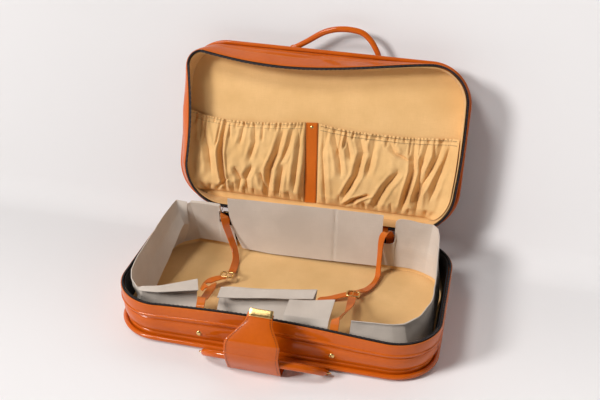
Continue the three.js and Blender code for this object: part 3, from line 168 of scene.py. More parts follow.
def cloth_material(name, colour, shade, threads, roughness, sheen, wrinkle=0.3):
    made, tree, shader = material(name)
    source = tree.nodes.new("ShaderNodeTexCoord")
    coords, flat = source.outputs["Object"], source.outputs["UV"]
    waves = []
    for direction in ("X", "Y"):
        wave = add_node(tree, "ShaderNodeTexWave", bands_direction=direction, Scale=threads,
                        Distortion=1.2, Detail=2.0, Detail_Scale=0.4)
        tree.links.new(flat, wave.inputs["Vector"])
        waves.append(wave.outputs["Fac"])
    weave = combine(tree, "MULTIPLY", *waves)
    slubs = []
    for stretch in ((40, 700, 1), (700, 40, 1)):
        mapping = add_node(tree, "ShaderNodeMapping", Scale=stretch)
        tree.links.new(flat, mapping.inputs["Vector"])
        slubs.append(noise_of(tree, mapping.outputs[0], 1.0, 2))
    tint = mix_colour(tree, ramp(tree, noise_of(tree, coords, 11, 4), 0.35, 0.65, 0, 1), colour, shade)
    for slub in slubs:
        tint = mix_colour(tree, ramp(tree, slub, 0.4, 0.75, 0, 0.35), tint, shade)
    tint = mix_colour(tree, ramp(tree, weave, 0, 1, 0.16, 0), tint, tuple(c * 0.55 for c in shade))
    tree.links.new(tint, shader.inputs["Base Color"])
    tree.links.new(ramp(tree, slubs[0], 0.3, 0.7, roughness - 0.06, roughness + 0.06),
                   shader.inputs["Roughness"])
    settle(shader, Sheen_Weight=sheen, Sheen_Roughness=0.5, Specular_IOR_Level=0.25)
    bump_chain(tree, shader, [(noise_of(tree, coords, 16, 4, 0.8), wrinkle, 0.004),
                              (slubs[1], 0.18, 0.0005), (weave, 0.3, 0.0003)])
    return made


def brass_material(name, colour, dull):
    made, tree, shader = material(name)
    coords = tree.nodes.new("ShaderNodeTexCoord").outputs["Object"]
    spots = noise_of(tree, coords, 60, 5)
    tree.links.new(mix_colour(tree, ramp(tree, spots, 0.4, 0.7, 0, 0.5), colour, dull),
                   shader.inputs["Base Color"])
    settle(shader, Metallic=1)
    tree.links.new(ramp(tree, spots, 0.3, 0.7, 0.14, 0.3), shader.inputs["Roughness"])
    bump_chain(tree, shader, [(noise_of(tree, coords, 900, 3), 0.05, 0.0002)])
    return made


LEATHER = leather_material("cognac_leather", (0.46, 0.074, 0.002), (0.61, 0.116, 0.003), (0.70, 0.25, 0.05))
DARK_LEATHER = leather_material("edge_leather", (0.10, 0.03, 0.012), (0.16, 0.045, 0.016), (0.3, 0.11, 0.05))
TAN = cloth_material("tan_lining_cloth", (0.89, 0.56, 0.245), (0.77, 0.465, 0.185), 620, 0.82, 0.12)
GREY = cloth_material("grey_flap_cloth", (0.71, 0.62, 0.54), (0.59, 0.51, 0.44), 520, 0.72, 0.05, 0.16)
# Black zip cloth, also used as painted shade over the tan lining behind the right flap and inside the base's
# rim.
BLACK_ZIP_AND_SHADE = cloth_material("black_zip_cloth_and_shade", (0.010, 0.008, 0.010), (0.016, 0.013, 0.015), 700, 0.8, 0.03)
TEETH = cloth_material("zip_teeth_nylon", (0.010, 0.008, 0.010), (0.02, 0.017, 0.019), 900, 0.5, 0.0)
BRASS = brass_material("warm_brass", (0.83, 0.58, 0.24), (0.62, 0.40, 0.15))
# Dark grey for the rear flap: painted shade along its crease, and its scuff marks.
CREASE_SHADE_AND_SCUFF_GREY = cloth_material("crease_shade_and_scuff_cloth", (0.20, 0.17, 0.145), (0.15, 0.125, 0.105), 520, 0.8, 0.05)
BROWN_THREAD = cloth_material("brown_thread", (0.06, 0.022, 0.01), (0.045, 0.018, 0.008), 2500, 0.75, 0.2)


# Camera and light
def add_object(name, data):
    made = bpy.data.objects.new(name, data)
    bpy.context.scene.collection.objects.link(made)
    return made


def set_camera():
    place = Vector((0.3460169, -1.4899707, 1.1224614))
    yaw, pitch, roll = -0.21718487, 0.518669, 0.02522436
    focal_pixels, photo_width, sensor = 922.4556, 600, 36
    ahead = Vector((math.sin(yaw) * math.cos(pitch), math.cos(yaw) * math.cos(pitch), -math.sin(pitch)))
    right = Vector((math.cos(yaw), -math.sin(yaw), 0))
    up = right.cross(ahead)
    across = right * math.cos(roll) + up * math.sin(roll)
    above = up * math.cos(roll) - right * math.sin(roll)
    data = bpy.data.cameras.new("photo_camera")
    data.sensor_width = sensor
    data.lens = focal_pixels / photo_width * sensor
    camera = add_object("photo_camera", data)
    turn = Matrix((across, above, -ahead)).transposed().to_4x4()
    camera.matrix_world = Matrix.Translation(place) @ turn
    bpy.context.scene.camera = camera
    bpy.context.scene.view_settings.view_transform = "Standard"


def area_light(name, place, target, size, power, colour):
    data = bpy.data.lights.new(name, "AREA")
    data.shape = "DISK"
    data.size = size
    data.energy = power
    data.color = colour
    light = add_object(name, data)
    light.location = place
    light.rotation_euler = (Vector(target) - Vector(place)).to_track_quat("-Z", "Y").to_euler()


def mix_shaders(tree, share, first, second):
    node = tree.nodes.new("ShaderNodeMixShader")
    for socket, value in zip(node.inputs, (share, first, second)):
        tree.links.new(value, socket)
    return node.outputs[0]


def set_world():
    """White where the camera sees it, and a dim fill light everywhere else."""
    world = bpy.data.worlds.new("studio")
    bpy.context.scene.world = world
    world.use_nodes = True
    tree = world.node_tree
    tree.nodes.clear()
    out = tree.nodes.new("ShaderNodeOutputWorld")
    seen = add_node(tree, "ShaderNodeBackground", Color=(1, 1, 1, 1), Strength=1)
    fill = add_node(tree, "ShaderNodeBackground", Color=(1, 0.99, 0.98, 1), Strength=0.07)
    path = tree.nodes.new("ShaderNodeLightPath")
    tree.links.new(mix_shaders(tree, path.outputs["Is Camera Ray"], fill.outputs[0], seen.outputs[0]),
                   out.inputs[0])


def paper_material():
    """Pale paper with painted light, lighter in front and to the right, and clear when seen from its back."""
    paper, tree, shader = material("pale_floor")
    settle(shader, Roughness=0.9, Specular_IOR_Level=0.1)
    split = tree.nodes.new("ShaderNodeSeparateXYZ")
    tree.links.new(tree.nodes.new("ShaderNodeTexCoord").outputs["Object"], split.inputs[0])
    # Painted light: the paper's colour is made lighter towards the front and the right, where the lamps light
    # it more.
    painted_light_to_right = ramp(tree, split.outputs[0], -0.6, 0.7, 0, 0.14, "SMOOTHSTEP")
    paper_and_painted_light_in_front = ramp(tree, split.outputs[1], -0.4, 0.3, 0.85, 0.70, "SMOOTHSTEP")
    paper_with_painted_light = mix_colour(tree, combine(tree, "ADD", painted_light_to_right, paper_and_painted_light_in_front), (0, 0, 0), (1, 0.98, 0.984))
    tree.links.new(paper_with_painted_light, shader.inputs["Base Color"])
    behind = tree.nodes.new("ShaderNodeNewGeometry").outputs["Backfacing"]
    clear = tree.nodes.new("ShaderNodeBsdfTransparent").outputs[0]
    tree.links.new(mix_shaders(tree, behind, shader.outputs[0], clear),
                   tree.nodes["Material Output"].inputs["Surface"])
    return paper


def set_floor():
    """A floor that bends up behind the case into a leaning backdrop, in metres."""
    lean, foot, bend, steps = math.radians(70), 0.262, 0.085, 12
    reach, height, half_width, drop = 12, 6, 12, 0.0005
    start = foot - bend * math.tan(lean / 2)
    line = [(-reach, 0)] + [(start + bend * math.sin(t), bend - bend * math.cos(t))
                            for t in (lean * i / steps for i in range(steps + 1))]
    line.append((line[-1][0] + height * math.cos(lean), line[-1][1] + height * math.sin(lean)))
    bm = bmesh.new()
    bmesh.ops.create_grid(bm, x_segments=1, y_segments=len(line) - 1, size=1)
    for vert in bm.verts:
        y, z = line[round((vert.co.y + 1) / 2 * (len(line) - 1))]
        vert.co = (vert.co.x * half_width, y, z - drop)
    mesh = bpy.data.meshes.new("floor")
    bm.to_mesh(mesh)
    bm.free()
    mesh.polygons.foreach_set("use_smooth", [True] * len(mesh.polygons))
    floor = add_object("floor", mesh)
    mesh.materials.append(paper_material())


def set_stage():
    set_world()
    set_floor()
    area_light("top_lamp", (-3.1, -2.7, 6.4), (0, 0, 0.1), 2.0, 208, (1, 0.985, 0.965))
    area_light("front_lamp", (-5.4, -4.7, 4.2), (0, 0.2, 0.2), 2.0, 500, (1, 0.985, 0.97))
    area_light("side_lamp", (3.6, -1.2, 2.0), (0, 0, 0.1), 2.2, 15, (1, 0.98, 0.96))


# Building a piece
def to_object(bm, name, looks, sharp=40):
    bmesh.ops.recalc_face_normals(bm, faces=bm.faces)
    mesh = bpy.data.meshes.new(name)
    bm.to_mesh(mesh)
    bm.free()
    looks = looks if isinstance(looks, list) else [looks]
    for look in looks:
        mesh.materials.append(look)
    mesh.polygons.foreach_set("use_smooth", [True] * len(mesh.polygons))
    mesh.set_sharp_from_angle(angle=math.radians(sharp))
    piece = add_object(name, mesh)
    return piece


def net(rows, columns, place, size=(1, 1), capped=False, to_world=None):
    """A net of rows by columns whose corners are put at place(i, j), in millimetres; edges that
    meet are closed, and open ends are filled when capped."""
    bm = bmesh.new()
    uv = bm.loops.layers.uv.new("UVMap")
    bmesh.ops.create_grid(bm, x_segments=rows, y_segments=columns, size=0.5)
    for face in bm.faces:
        for loop in face.loops:
            loop[uv].uv = ((loop.vert.co.x + 0.5) * size[0], (loop.vert.co.y + 0.5) * size[1])
    for vert in bm.verts:
        point = place(round((vert.co.x + 0.5) * rows), round((vert.co.y + 0.5) * columns))
        vert.co = (to_world(point) if to_world else Vector(point)) * MM
    bmesh.ops.remove_doubles(bm, verts=bm.verts, dist=2e-6)
    if capped:
        bmesh.ops.holes_fill(bm, edges=[e for e in bm.edges if e.is_boundary], sides=0)
    return bm


def thicken(bm, thickness):
    bmesh.ops.recalc_face_normals(bm, faces=bm.faces)
    bmesh.ops.solidify(bm, geom=bm.faces, thickness=thickness * MM)
    return bm


def round_edges(bm, least, offset, segments, clamp=False):
    """Rounds the edges whose faces meet at more than the least angle."""
    edges = [e for e in bm.edges if len(e.link_faces) == 2 and e.calc_face_angle(0) > least]
    bmesh.ops.bevel(bm, geom=edges, offset=offset * MM, segments=segments, profile=0.5, affect="EDGES",
                    material=-1, clamp_overlap=clamp)


def paint(piece, chosen):
    """Gives the faces that chosen(middle, normal) picks the piece's second material."""
    for face in piece.data.polygons:
        if chosen(face.center / MM, face.normal):
            face.material_index = 1
    return piece


def ride(piece, body, *nodes):
    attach(piece, body)
    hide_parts(*nodes)
    return piece


def flatten(piece, *nodes, keep=0.68):
    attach(piece, "base")
    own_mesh(piece)
    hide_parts(*nodes)
    return piece


def between(p0, p1, p2, p3, t):
    """Smooth step from p1 to p2 that also heeds their neighbours."""
    return 0.5 * (2 * p1 + (p2 - p0) * t + (2 * p0 - 5 * p1 + 4 * p2 - p3) * t * t
                  + (3 * p1 - p0 - 3 * p2 + p3) * t ** 3)


def measure(points):
    """How far along their line the points are, and their coordinates in columns."""
    lengths = np.cumsum([0] + [(b - a).length for a, b in zip(points, points[1:])])
    return lengths, np.array([list(p) for p in points])


def along_line(at, lengths, flat):
    return Vector([np.interp(at, lengths, flat[:, c]) for c in range(3)])


def curve(points, steps):
    """Smooth line through the points, as steps + 1 places evenly along it."""
    pts = [Vector(p) for p in points]
    pts = [pts[0] * 2 - pts[1]] + pts + [pts[-1] * 2 - pts[-2]]
    dense, parts = [], 24
    for k in range(1, len(pts) - 2):
        dense += [between(*pts[k - 1:k + 3], i / parts) for i in range(parts)]
    dense.append(pts[-2])
    lengths, flat = measure(dense)
    return [along_line(at, lengths, flat) for at in np.linspace(0, lengths[-1], steps + 1)]


def tangents(path, loop=False):
    count = len(path)
    out = []
    for i in range(count):
        before = path[i - 1] if i or loop else path[0]
        after = path[(i + 1) % count] if i < count - 1 or loop else path[-1]
        out.append((after - before).normalized())
    return out


def tube(path, radius_at, plane, sides=14, loop=False, flat=1.0, to_world=None):
    """Round rod along a path; plane is the direction at right angles to its bends."""
    heading = tangents(path, loop)
    count = len(path)
    plane = Vector(plane)

    def place(i, j):
        k = i % count
        turn = 2 * math.pi * j / sides
        outer = heading[k].cross(plane).normalized()
        across = outer.cross(heading[k]).normalized()
        radius = radius_at(k / max(1, count - 1))
        return path[k] + outer * math.cos(turn) * radius + across * math.sin(turn) * radius * flat

    return net(count if loop else count - 1, sides, place, (0.3, 0.03), not loop, to_world)


def band_ring(width, thickness):
    """Cross-section of a leather strap: a flat band with rounded edges, as pairs across and up."""
    half, up, steps, soften = width / 2, thickness / 2, 3, 0.45
    ring = []
    for side, begin in ((1, -90), (-1, 90)):
        for i in range(steps + 1):
            turn = math.radians(begin + 180 * i / steps)
            ring.append((side * (half - up * soften) + math.cos(turn) * up * soften, math.sin(turn) * up))
    return ring


def strap(path, width_at, thickness, side=(1, 0, 0), to_world=None, wave=0.0, twist=None):
    """Flat strap along a path, its width along side, or turned from it by twist(share) degrees."""
    heading = tangents(path)
    flat_side = Vector(side)
    last = len(path) - 1

    def place(i, j):
        share = i / last
        ring = band_ring(width_at(share), thickness)
        across, up = ring[j % len(ring)]
        side = flat_side
        if twist:
            side = Matrix.Rotation(math.radians(twist(share)), 3, heading[i]) @ flat_side
        normal = heading[i].cross(side).normalized()
        over = normal.cross(heading[i]).normalized()
        over = over if over.dot(side) > 0 else -over
        ripple = wave * noise.noise(path[i] * 0.03)
        return path[i] + over * across + normal * (up + ripple)

    return net(last, len(band_ring(1, 1)), place, (0.3, 0.05), True, to_world)


def stitches(name, runs, look, length, pitch, radius, to_world=None):
    """Thread stitches along runs of places in millimetres."""
    bm = bmesh.new()
    bm.loops.layers.uv.new("UVMap")
    for run in runs:
        lengths, flat = measure([to_world(p) if to_world else Vector(p) for p in run])
        for at in np.arange(pitch / 2, lengths[-1], pitch):
            here = along_line(at, lengths, flat)
            way = along_line(min(at + 1, lengths[-1]), lengths, flat) - here
            way = way.normalized() if way.length > 1e-6 else Vector((1, 0, 0))
            turn = way.to_track_quat("X", "Z").to_matrix().to_4x4()
            scale = Matrix.Diagonal((length / 2 * MM, radius * MM, radius * MM, 1))
            bmesh.ops.create_uvsphere(bm, u_segments=6, v_segments=4, radius=1,
                                      matrix=Matrix.Translation(here * MM) @ turn @ scale)
    return to_object(bm, name, look)


def rounded_frame(width, length):
    path, corner, steps = [], 4, 6
    for k, (sx, sy) in enumerate(((1, 1), (-1, 1), (-1, -1), (1, -1))):
        for i in range(steps + 1):
            turn = math.pi / 2 * (k + i / steps)
            path.append((sx * (width / 2 - corner) + corner * math.cos(turn),
                         sy * (length / 2 - corner) + corner * math.sin(turn)))
    return path


def lathe(profile, place, axis):
    """Turned shape: pairs of radius and distance along the axis, spun round it."""
    bm = bmesh.new()
    bm.loops.layers.uv.new("UVMap")
    turn = Vector(axis).to_track_quat("Z", "Y").to_matrix().to_4x4()
    verts = [bm.verts.new(Vector((r, 0, h)) * MM) for r, h in profile]
    edges = [bm.edges.new((a, b)) for a, b in zip(verts, verts[1:])]
    bmesh.ops.spin(bm, geom=verts + edges, cent=(0, 0, 0), axis=(0, 0, 1), angle=2 * math.pi, steps=28,
                   use_merge=True)
    bmesh.ops.remove_doubles(bm, verts=bm.verts, dist=1e-6)
    bmesh.ops.transform(bm, matrix=Matrix.Translation(Vector(place) * MM) @ turn, verts=bm.verts)
    return bm


def refined(node, name, bevel, body):
    """A finer brass piece from a solid's own shape, with its edges rounded."""
    bm = bmesh.new()
    bm.from_mesh(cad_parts[node].data)
    bmesh.ops.remove_doubles(bm, verts=bm.verts, dist=1e-6)
    bmesh.ops.dissolve_limit(bm, angle_limit=math.radians(2), verts=bm.verts, edges=bm.edges)
    round_edges(bm, math.radians(30), bevel, 3, True)
    if not bm.loops.layers.uv:
        bm.loops.layers.uv.new("UVMap")
    ride(to_object(bm, name, BRASS, 35), body, node)


# The two trays
def outline(corners, bows):
    """Places and outward directions round a tray, from its corners (x, y, radius) and, for each side, how
    far it bows out and where the bow is fullest."""
    arcs, stations = [], []
    for k in range(4):
        here = np.array(corners[k][:2], float)
        radius = corners[k][2]
        arriving = here - np.array(corners[(k + 3) % 4][:2], float)
        arriving /= np.linalg.norm(arriving)
        leaving = np.array(corners[(k + 1) % 4][:2], float) - here
        leaving /= np.linalg.norm(leaving)
        turn = math.acos(float(arriving @ leaving))
        inward = np.array([-arriving[1], arriving[0]])
        centre = here - arriving * radius * math.tan(turn / 2) + inward * radius
        first = math.atan2(-arriving[0], arriving[1])
        arc = []
        for i in range(TURN_STEPS * FINE + 1):
            angle = first + turn * i / (TURN_STEPS * FINE)
            normal = np.array([math.cos(angle), math.sin(angle)])
            arc.append((centre + normal * radius, normal))
        arcs.append(arc)
    for k in range(4):
        stations += arcs[k]
        start, end = arcs[k][-1], arcs[(k + 1) % 4][0]
        out, peak = bows[k]
        for i in range(1, SIDE_STEPS[k] * FINE):
            share = i / (SIDE_STEPS[k] * FINE)
            swell = math.sin(math.pi * share ** (math.log(0.5) / math.log(peak)))
            place = start[0] * (1 - share) + end[0] * share + start[1] * out * swell
            stations.append((place, start[1]))
    return stations


def make_tray(rim, height, easing, rise, slack, shift=0):
    """Returns at(station, z, out), the place on a tray's wall between its foot and its rim."""
    foot = outline([(shift + sx * FOOT_X, sy * FOOT_Y, FOOT_RADIUS)
                    for sx, sy in ((-1, -1), (1, -1), (1, 1), (-1, 1))], [(0, 0.5)] * 4)
    count = STATIONS * FINE

    def one(k, z, out):
        share = min(1, max(0, (z - LEAN_START) / (height - LEAN_START)))
        lean = easing(share)
        normal = foot[k][1] * (1 - lean) + rim[k][1] * lean
        normal = normal / np.linalg.norm(normal)
        place = foot[k][0] * (1 - lean) + rim[k][0] * lean
        place = place + normal * (out + slack(place, share))
        return Vector((place[0], place[1], z + rise(place) * share))

    def at(station, z, out=0.0):
        i = (station * FINE) % count
        low = int(math.floor(i)) % count
        return one(low, z, out).lerp(one((low + 1) % count, z, out), i - math.floor(i))

    return at


def front_rise(place):
    across = math.cos(math.pi / 2 * max(-1, min(1, place[0] / FOOT_X)))
    return 6 * across ** 2 * max(0, min(1, -place[1] / FOOT_Y)) ** 2 if place[1] < 0 else 0


def base_slack(place, share):
    soft = math.sin(math.pi * share)
    return soft * 1.6 * noise.noise(Vector((place[0] * 0.012, place[1] * 0.012, 3.0)))


def lid_slack(place, share):
    """The lid's leather ripples, and bulges at its left end."""
    soft = math.sin(math.pi * share)
    left = math.exp(-((place[0] + 300) / 60) ** 2) * max(0, 1 - abs(place[1] - 20) / 200)
    return soft * (2.2 * noise.noise(Vector((place[0] * 0.011, place[1] * 0.011, 9.0))) + 12 * left)


base_at = make_tray(outline([(-RIM_X, -RIM_Y, CORNER), (RIM_X, -RIM_Y - 6, CORNER), (RIM_X, RIM_Y, CORNER),
                             (-RIM_X, RIM_Y, CORNER)], [(-7, 0.42), (0, 0.5), (0, 0.5), (0, 0.5)]),
                    BASE_RIM, lambda s: math.sin(math.pi / 2 * s), front_rise, base_slack)
lid_at = make_tray(outline([(-RIM_X + 28, -RIM_Y, CORNER), (RIM_X - 13, -RIM_Y, CORNER),
                            (RIM_X - 8, RIM_Y, 80), (-RIM_X + 6, RIM_Y - 27, 28)],
                           [(0, 0.5), (3, 0.5), (-25, 0.58), (-8, 0.5)]),
                   LID_RIM, lambda s: s, lambda p: 0, lid_slack, -6)


def lid_world(point):
    """Where a place in the lid's own tray is once the lid is on the case and laid open."""
    dy = -point[1] - HINGE_Y
    dz = CLOSED_TOP - point[2] - HINGE_Z
    return Vector((point[0], HINGE_Y + dy * math.cos(OPEN) + dz * math.sin(OPEN),
                   HINGE_Z - dy * math.sin(OPEN) + dz * math.cos(OPEN)))


TRAYS = {"base": (base_at, BASE_RIM, None), "lid": (lid_at, LID_RIM, lid_world)}


def front_station(x):
    return FRONT_MIDDLE + x / STRAIGHT * SIDE_STEPS[0] / 2


def rear_station(x):
    return REAR_MIDDLE - x / STRAIGHT * SIDE_STEPS[0] / 2


def ring_piece(at, profile, to_world, first=0, last=STATIONS):
    """A wall layer carried round a tray, whole or from station to station."""
    whole = last - first == STATIONS
    rows = int((last - first) * FINE)
    count = len(profile)

    def place(i, j):
        height, out = profile[j % count]
        return at(first + (0 if whole and i == rows else i / FINE), height, out)

    return net(rows, count, place, (1.8, 0.2), not whole, to_world)


def groove(height):
    return [(height - 1.9, 0.0), (height - 0.9, -0.5), (height, -1.7), (height + 0.9, -0.5),
            (height + 1.9, 0.0)]


def wall_profile(rim, low_seam):
    """The leather wall's section: seams sunk into it, and the leather puffed between them."""
    top, back = rim - TAPE_DEPTH, -4.5
    seams = [20, rim - 37] if low_seam else [16.5]
    profile = [(WALL_FOOT, -0.6), (WALL_FOOT + 0.6, 0.0), (LEAN_START, 0.3)]
    edges = [LEAN_START] + seams + [rim - BAND_DEPTH]
    for k, seam in enumerate(seams):
        profile += groove(seam)
        low, high = seam + 1.9, edges[k + 2] - (1.9 if k + 1 < len(seams) else 0)
        puff = (2.6 if low_seam else 3.4) if high - low > 12 else 0.6
        steps = max(3, int((high - low) / 4))
        profile += [(low + (high - low) * i / steps, puff * math.sin(math.pi * i / steps) ** 0.7)
                    for i in range(1, steps)]
    profile = sorted(profile) + [(rim - BAND_DEPTH, 0.0), (rim - 20, 0.0), (top - 0.4, 0.0), (top, -0.5)]
    return profile + [(top, back), (rim / 2, back), (WALL_FOOT, back)]


def band_profile(rim, low_seam):
    """The band under the rim, with a bead along its foot on the base."""
    low, high = rim - BAND_DEPTH, rim - 3.0
    if not low_seam:
        face = [(low - 2 + (high + 1 - low) * i / 6, 1.0 + 0.9 * math.sin(math.pi / 2 * i / 6))
                for i in range(7)]
        return [(low - 2.2, 0.4)] + face + [(high - 0.4, 1.7), (high, 1.3), (high, 0.6), (high - 2.3, 0.6),
                                            (low, 0.3)]
    bead = [(low + 2.9 * math.cos(math.radians(a)), 1.4 + 2.9 * math.sin(math.radians(a)))
            for a in range(170, 19, -25)]
    face = [(low + 3.2 + (high - 1.4 - low - 3.2) * i / 5, 2.3 + 0.35 * math.sin(math.pi * i / 5))
            for i in range(6)]
    return [(low - 2.2, 0.6)] + bead + face + [(high - 0.4, 2.1), (high, 1.5), (high, 0.6), (high - 2.3, 0.6),
                                               (low, 0.6)]


def piping_profile():
    height, out, radius, sides = 8.6, 5.1, 4.8, 16
    return [(height + radius * math.sin(t), out + radius * math.cos(t))
            for t in (2 * math.pi * (i + 0.5) / sides for i in range(sides))]


def plate(at, low, high, out, puff, to_world, rings=14):
    """Board that fills a tray's foot, its faces puffed at the middle."""
    levels = [(i / rings, low) for i in range(rings + 1)] + [(1 - i / rings, high) for i in range(rings + 1)]
    rows = STATIONS * FINE

    def place(i, j):
        share, height = levels[j]
        edge = at(0 if i == rows else i / FINE, WALL_FOOT, out)
        lift = puff * (1 - share ** 2) * (1 if height == high else -1)
        ripple = 0.35 * noise.noise(Vector((edge.x * share * 0.02, edge.y * share * 0.02, 5))) * (1 - share)
        return Vector((edge.x * share, edge.y * share, height + lift * 0.5 + ripple))

    bm = net(rows, len(levels) - 1, place)
    layer = bm.loops.layers.uv.active
    for face in bm.faces:
        for loop in face.loops:
            loop[layer].uv = (loop.vert.co.x, loop.vert.co.y)
    if to_world:
        for vert in bm.verts:
            vert.co = to_world(vert.co / MM) * MM
    return bm


def add_shell(prefix):
    at, rim, to_world = TRAYS[prefix]
    base = prefix == "base"
    for profile, name, node in ((wall_profile(rim, base), "leather_wall", "wall"),
                                (band_profile(rim, base), "leather_band", "rim_band"),
                                (piping_profile(), "corded_edge", "piping")):
        ride(to_object(ring_piece(at, profile, to_world), f"{prefix}_{name}", LEATHER), prefix,
             f"{prefix}_{node}")
    panel = plate(at, low=0.0, high=8.0, out=0.3, puff=-1.0, to_world=to_world)
    ride(to_object(panel, f"{prefix}_leather_panel", LEATHER), prefix, f"{prefix}_panel")
    face, back, middle, top = -6.4, -5.1, rim / 2, rim - TAPE_DEPTH
    lining = [(LINING_FOOT, face), (middle, face), (top, face), (rim - 5, -6.3), (rim - 4.6, -5.7),
              (rim - 5, back), (top, back), (middle, back), (LINING_FOOT, back)]
    layer = to_object(ring_piece(at, lining, to_world), f"{prefix}_cloth_wall", [TAN, BLACK_ZIP_AND_SHADE])
    ride(layer, prefix, f"{prefix}_lining_wall")
    board = plate(at, WALL_FOOT, FLOOR_TOP, out=-5.6, puff=0.5, to_world=to_world)
    board = to_object(board, f"{prefix}_cloth_board", [TAN, BLACK_ZIP_AND_SHADE])
    ride(board, prefix, f"{prefix}_lining_{'floor' if base else 'board'}")
    if base:
        # tan lining and board painted black here: painted shade for the dark gap behind the right flap
        for cloth, reach in ((layer, 297), (board, 301)):
            paint(cloth, lambda middle, normal: middle.x > reach - max(0, middle.y - 92) * 0.25
                  and -110 < middle.y < 132)


def add_zip(prefix):
    """Zip tape and teeth round the rim, open along the hinge."""
    at, rim, to_world = TRAYS[prefix]
    half = HINGE_HALF / STRAIGHT * SIDE_STEPS[0] / 2
    middle = (REAR_MIDDLE if prefix == "base" else FRONT_MIDDLE) - STATIONS
    first, last = math.ceil(middle + half), math.floor(middle + STATIONS - half)
    tape = [(rim - 10.4, -0.9), (rim - 7.5, -0.6), (rim - 6.9, -0.9), (rim - 3.4, -0.9), (rim - 2.7, -1.1),
            (rim - 2.7, -2.4), (rim - 6.5, -2.4), (rim - 10.4, -2.4)]
    ride(to_object(ring_piece(at, tape, to_world, first, last), f"{prefix}_zip_cloth", BLACK_ZIP_AND_SHADE), prefix,
         f"{prefix}_zip_tape")
    low, top, rows = rim - 2.4, rim - 0.7, 900

    def teeth(i, j):
        tooth = 1.0 if (i // 2) % 2 else 0.0
        ring = [(low, -0.4), (low + 1.6, -0.3 + 0.5 * tooth), (top + 0.7 * tooth, -0.7 + 0.3 * tooth),
                (top + 0.7 * tooth, -2.7 - 0.3 * tooth), (low + 1.6, -3.1 - 0.5 * tooth), (low, -3.0)]
        height, out = ring[j % 6]
        return at(first + (last - first) * i / rows, height, out)

    ride(to_object(net(rows, 6, teeth, (1.6, 0.01), True, to_world), f"{prefix}_zip_coil", TEETH, 25), prefix,
         f"{prefix}_zip_teeth")


def add_zip_facing_and_shade():
    """Black band inside the base's rim: the zip's black facing at the top, carried down as painted shade over
    the lining in the dark gap behind the flaps.
    """
    face, back = -6.9, -6.5
    facing = [(BASE_RIM - 3.2, -5.3), (BASE_RIM - 3.0, -6.4), (BASE_RIM - 3.4, face), (BASE_RIM - 30, face),
              (BASE_RIM - 59, face), (BASE_RIM - 59, back), (BASE_RIM - 30, back), (BASE_RIM - 5, -6.3),
              (BASE_RIM - 4.2, -5.4)]
    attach(to_object(ring_piece(base_at, facing, None), "base_zip_facing_and_shade", BLACK_ZIP_AND_SHADE), "base")


def add_hinge():
    """Leather hinge from the base's rear wall over the fold to the lid's wall."""
    out, columns, steps = 3.9, 34, 30

    def section(x):
        low, top = (base_at(rear_station(x), height, out) for height in (69, 86))
        fixed = [low, low.lerp(top, 0.5), top, Vector((x, HINGE_Y + 0.8, HINGE_Z - 1.2))]
        fixed += [lid_world(lid_at(front_station(x), height, out)) for height in (56, 48, 39)]
        for p in fixed:
            p.x = x
        return curve(fixed, steps)

    lines = [section(-HINGE_HALF + 2 * HINGE_HALF * k / columns) for k in range(columns + 1)]
    bm = thicken(net(steps, columns, lambda i, j: lines[j][i], (0.06, 0.34)), -1.8)
    piece = to_object(bm, "leather_hinge", LEATHER)
    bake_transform(piece)
    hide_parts("base_hinge_strip", "lid_hinge_strip")


def add_lid_seam():
    seam = [lid_at(STATIONS + front_station(-40), height,
                   0.5 + 3.2 * math.sin(math.pi * (height - 15) / 40) ** 0.7) for height in range(16, 36, 2)]
    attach(stitches("lid_gusset_seam", [seam], DARK_LEATHER, 3.4, 3.5, 0.6, lid_world), "lid")


add_shell("base")
add_shell("lid")
add_zip("base")
add_zip("lid")
add_zip_facing_and_shade()
add_hinge()
add_lid_seam()


# Stiff cloth flaps in the base
def foot_at(station, height):
    point = base_at(station, height, -9.8)
    return Vector((point.x, point.y, height))


def end_flap(name, node, columns, dents, flat, keep, soft):
    """Stiff cloth flap through columns, each a station and height for its foot, then a low crease and the
    edge, a high fold and the edge, or just the edge of a straight part. Dents is how far the cloth waves,
    and soft is how rounded its corners are."""
    full = []
    for station, height, *places in columns:
        foot = foot_at(station, height)
        points = [Vector(p) for p in places]
        if len(points) == 1:
            points = [foot.lerp(points[0], s) for s in (0, 0.33, 0.66, 0.95, 1)]
        elif points[0].z < 88:
            crease, edge = points
            middle = crease.lerp(edge, 0.5) + Vector((-2, 0, -2))
            points = [foot, foot.lerp(crease, 0.6), crease, middle, edge]
        else:
            fold, edge = points
            points = [foot, foot.lerp(fold, 0.4), foot.lerp(fold, 0.8), fold, edge]
        full.append(points)
    rows, count = 36, (len(full) - 1) * 12

    def place(i, j):
        at, up = i / count * (len(full) - 1), j / rows * 4
        low, level = min(int(at), len(full) - 2), min(int(up), 3)
        share, rise = at - low, up - level
        near = [full[min(max(low + k, 0), len(full) - 1)] for k in (-1, 0, 1, 2)]
        near = [column[level].lerp(column[level + 1], rise) for column in near]
        straight = near[1].lerp(near[2], share)
        point = straight.lerp(between(*near, share), soft * min(1, (near[2] - near[1]).length / 40) ** 2)
        wave = dents * noise.noise(point * 0.017) + 0.4 * dents * noise.noise(point * 0.05)
        outward = Vector((point.x, point.y, 0)).normalized()
        return point + outward * wave * min(1, up)

    piece = to_object(thicken(net(count, rows, place, flat), 1.5), name, GREY, 28)
    return flatten(piece, node, keep=keep)


def sheet_piece(name, rows, columns, place, flat):
    return to_object(thicken(net(rows, columns, place, flat), 1.6), name, GREY, 50)


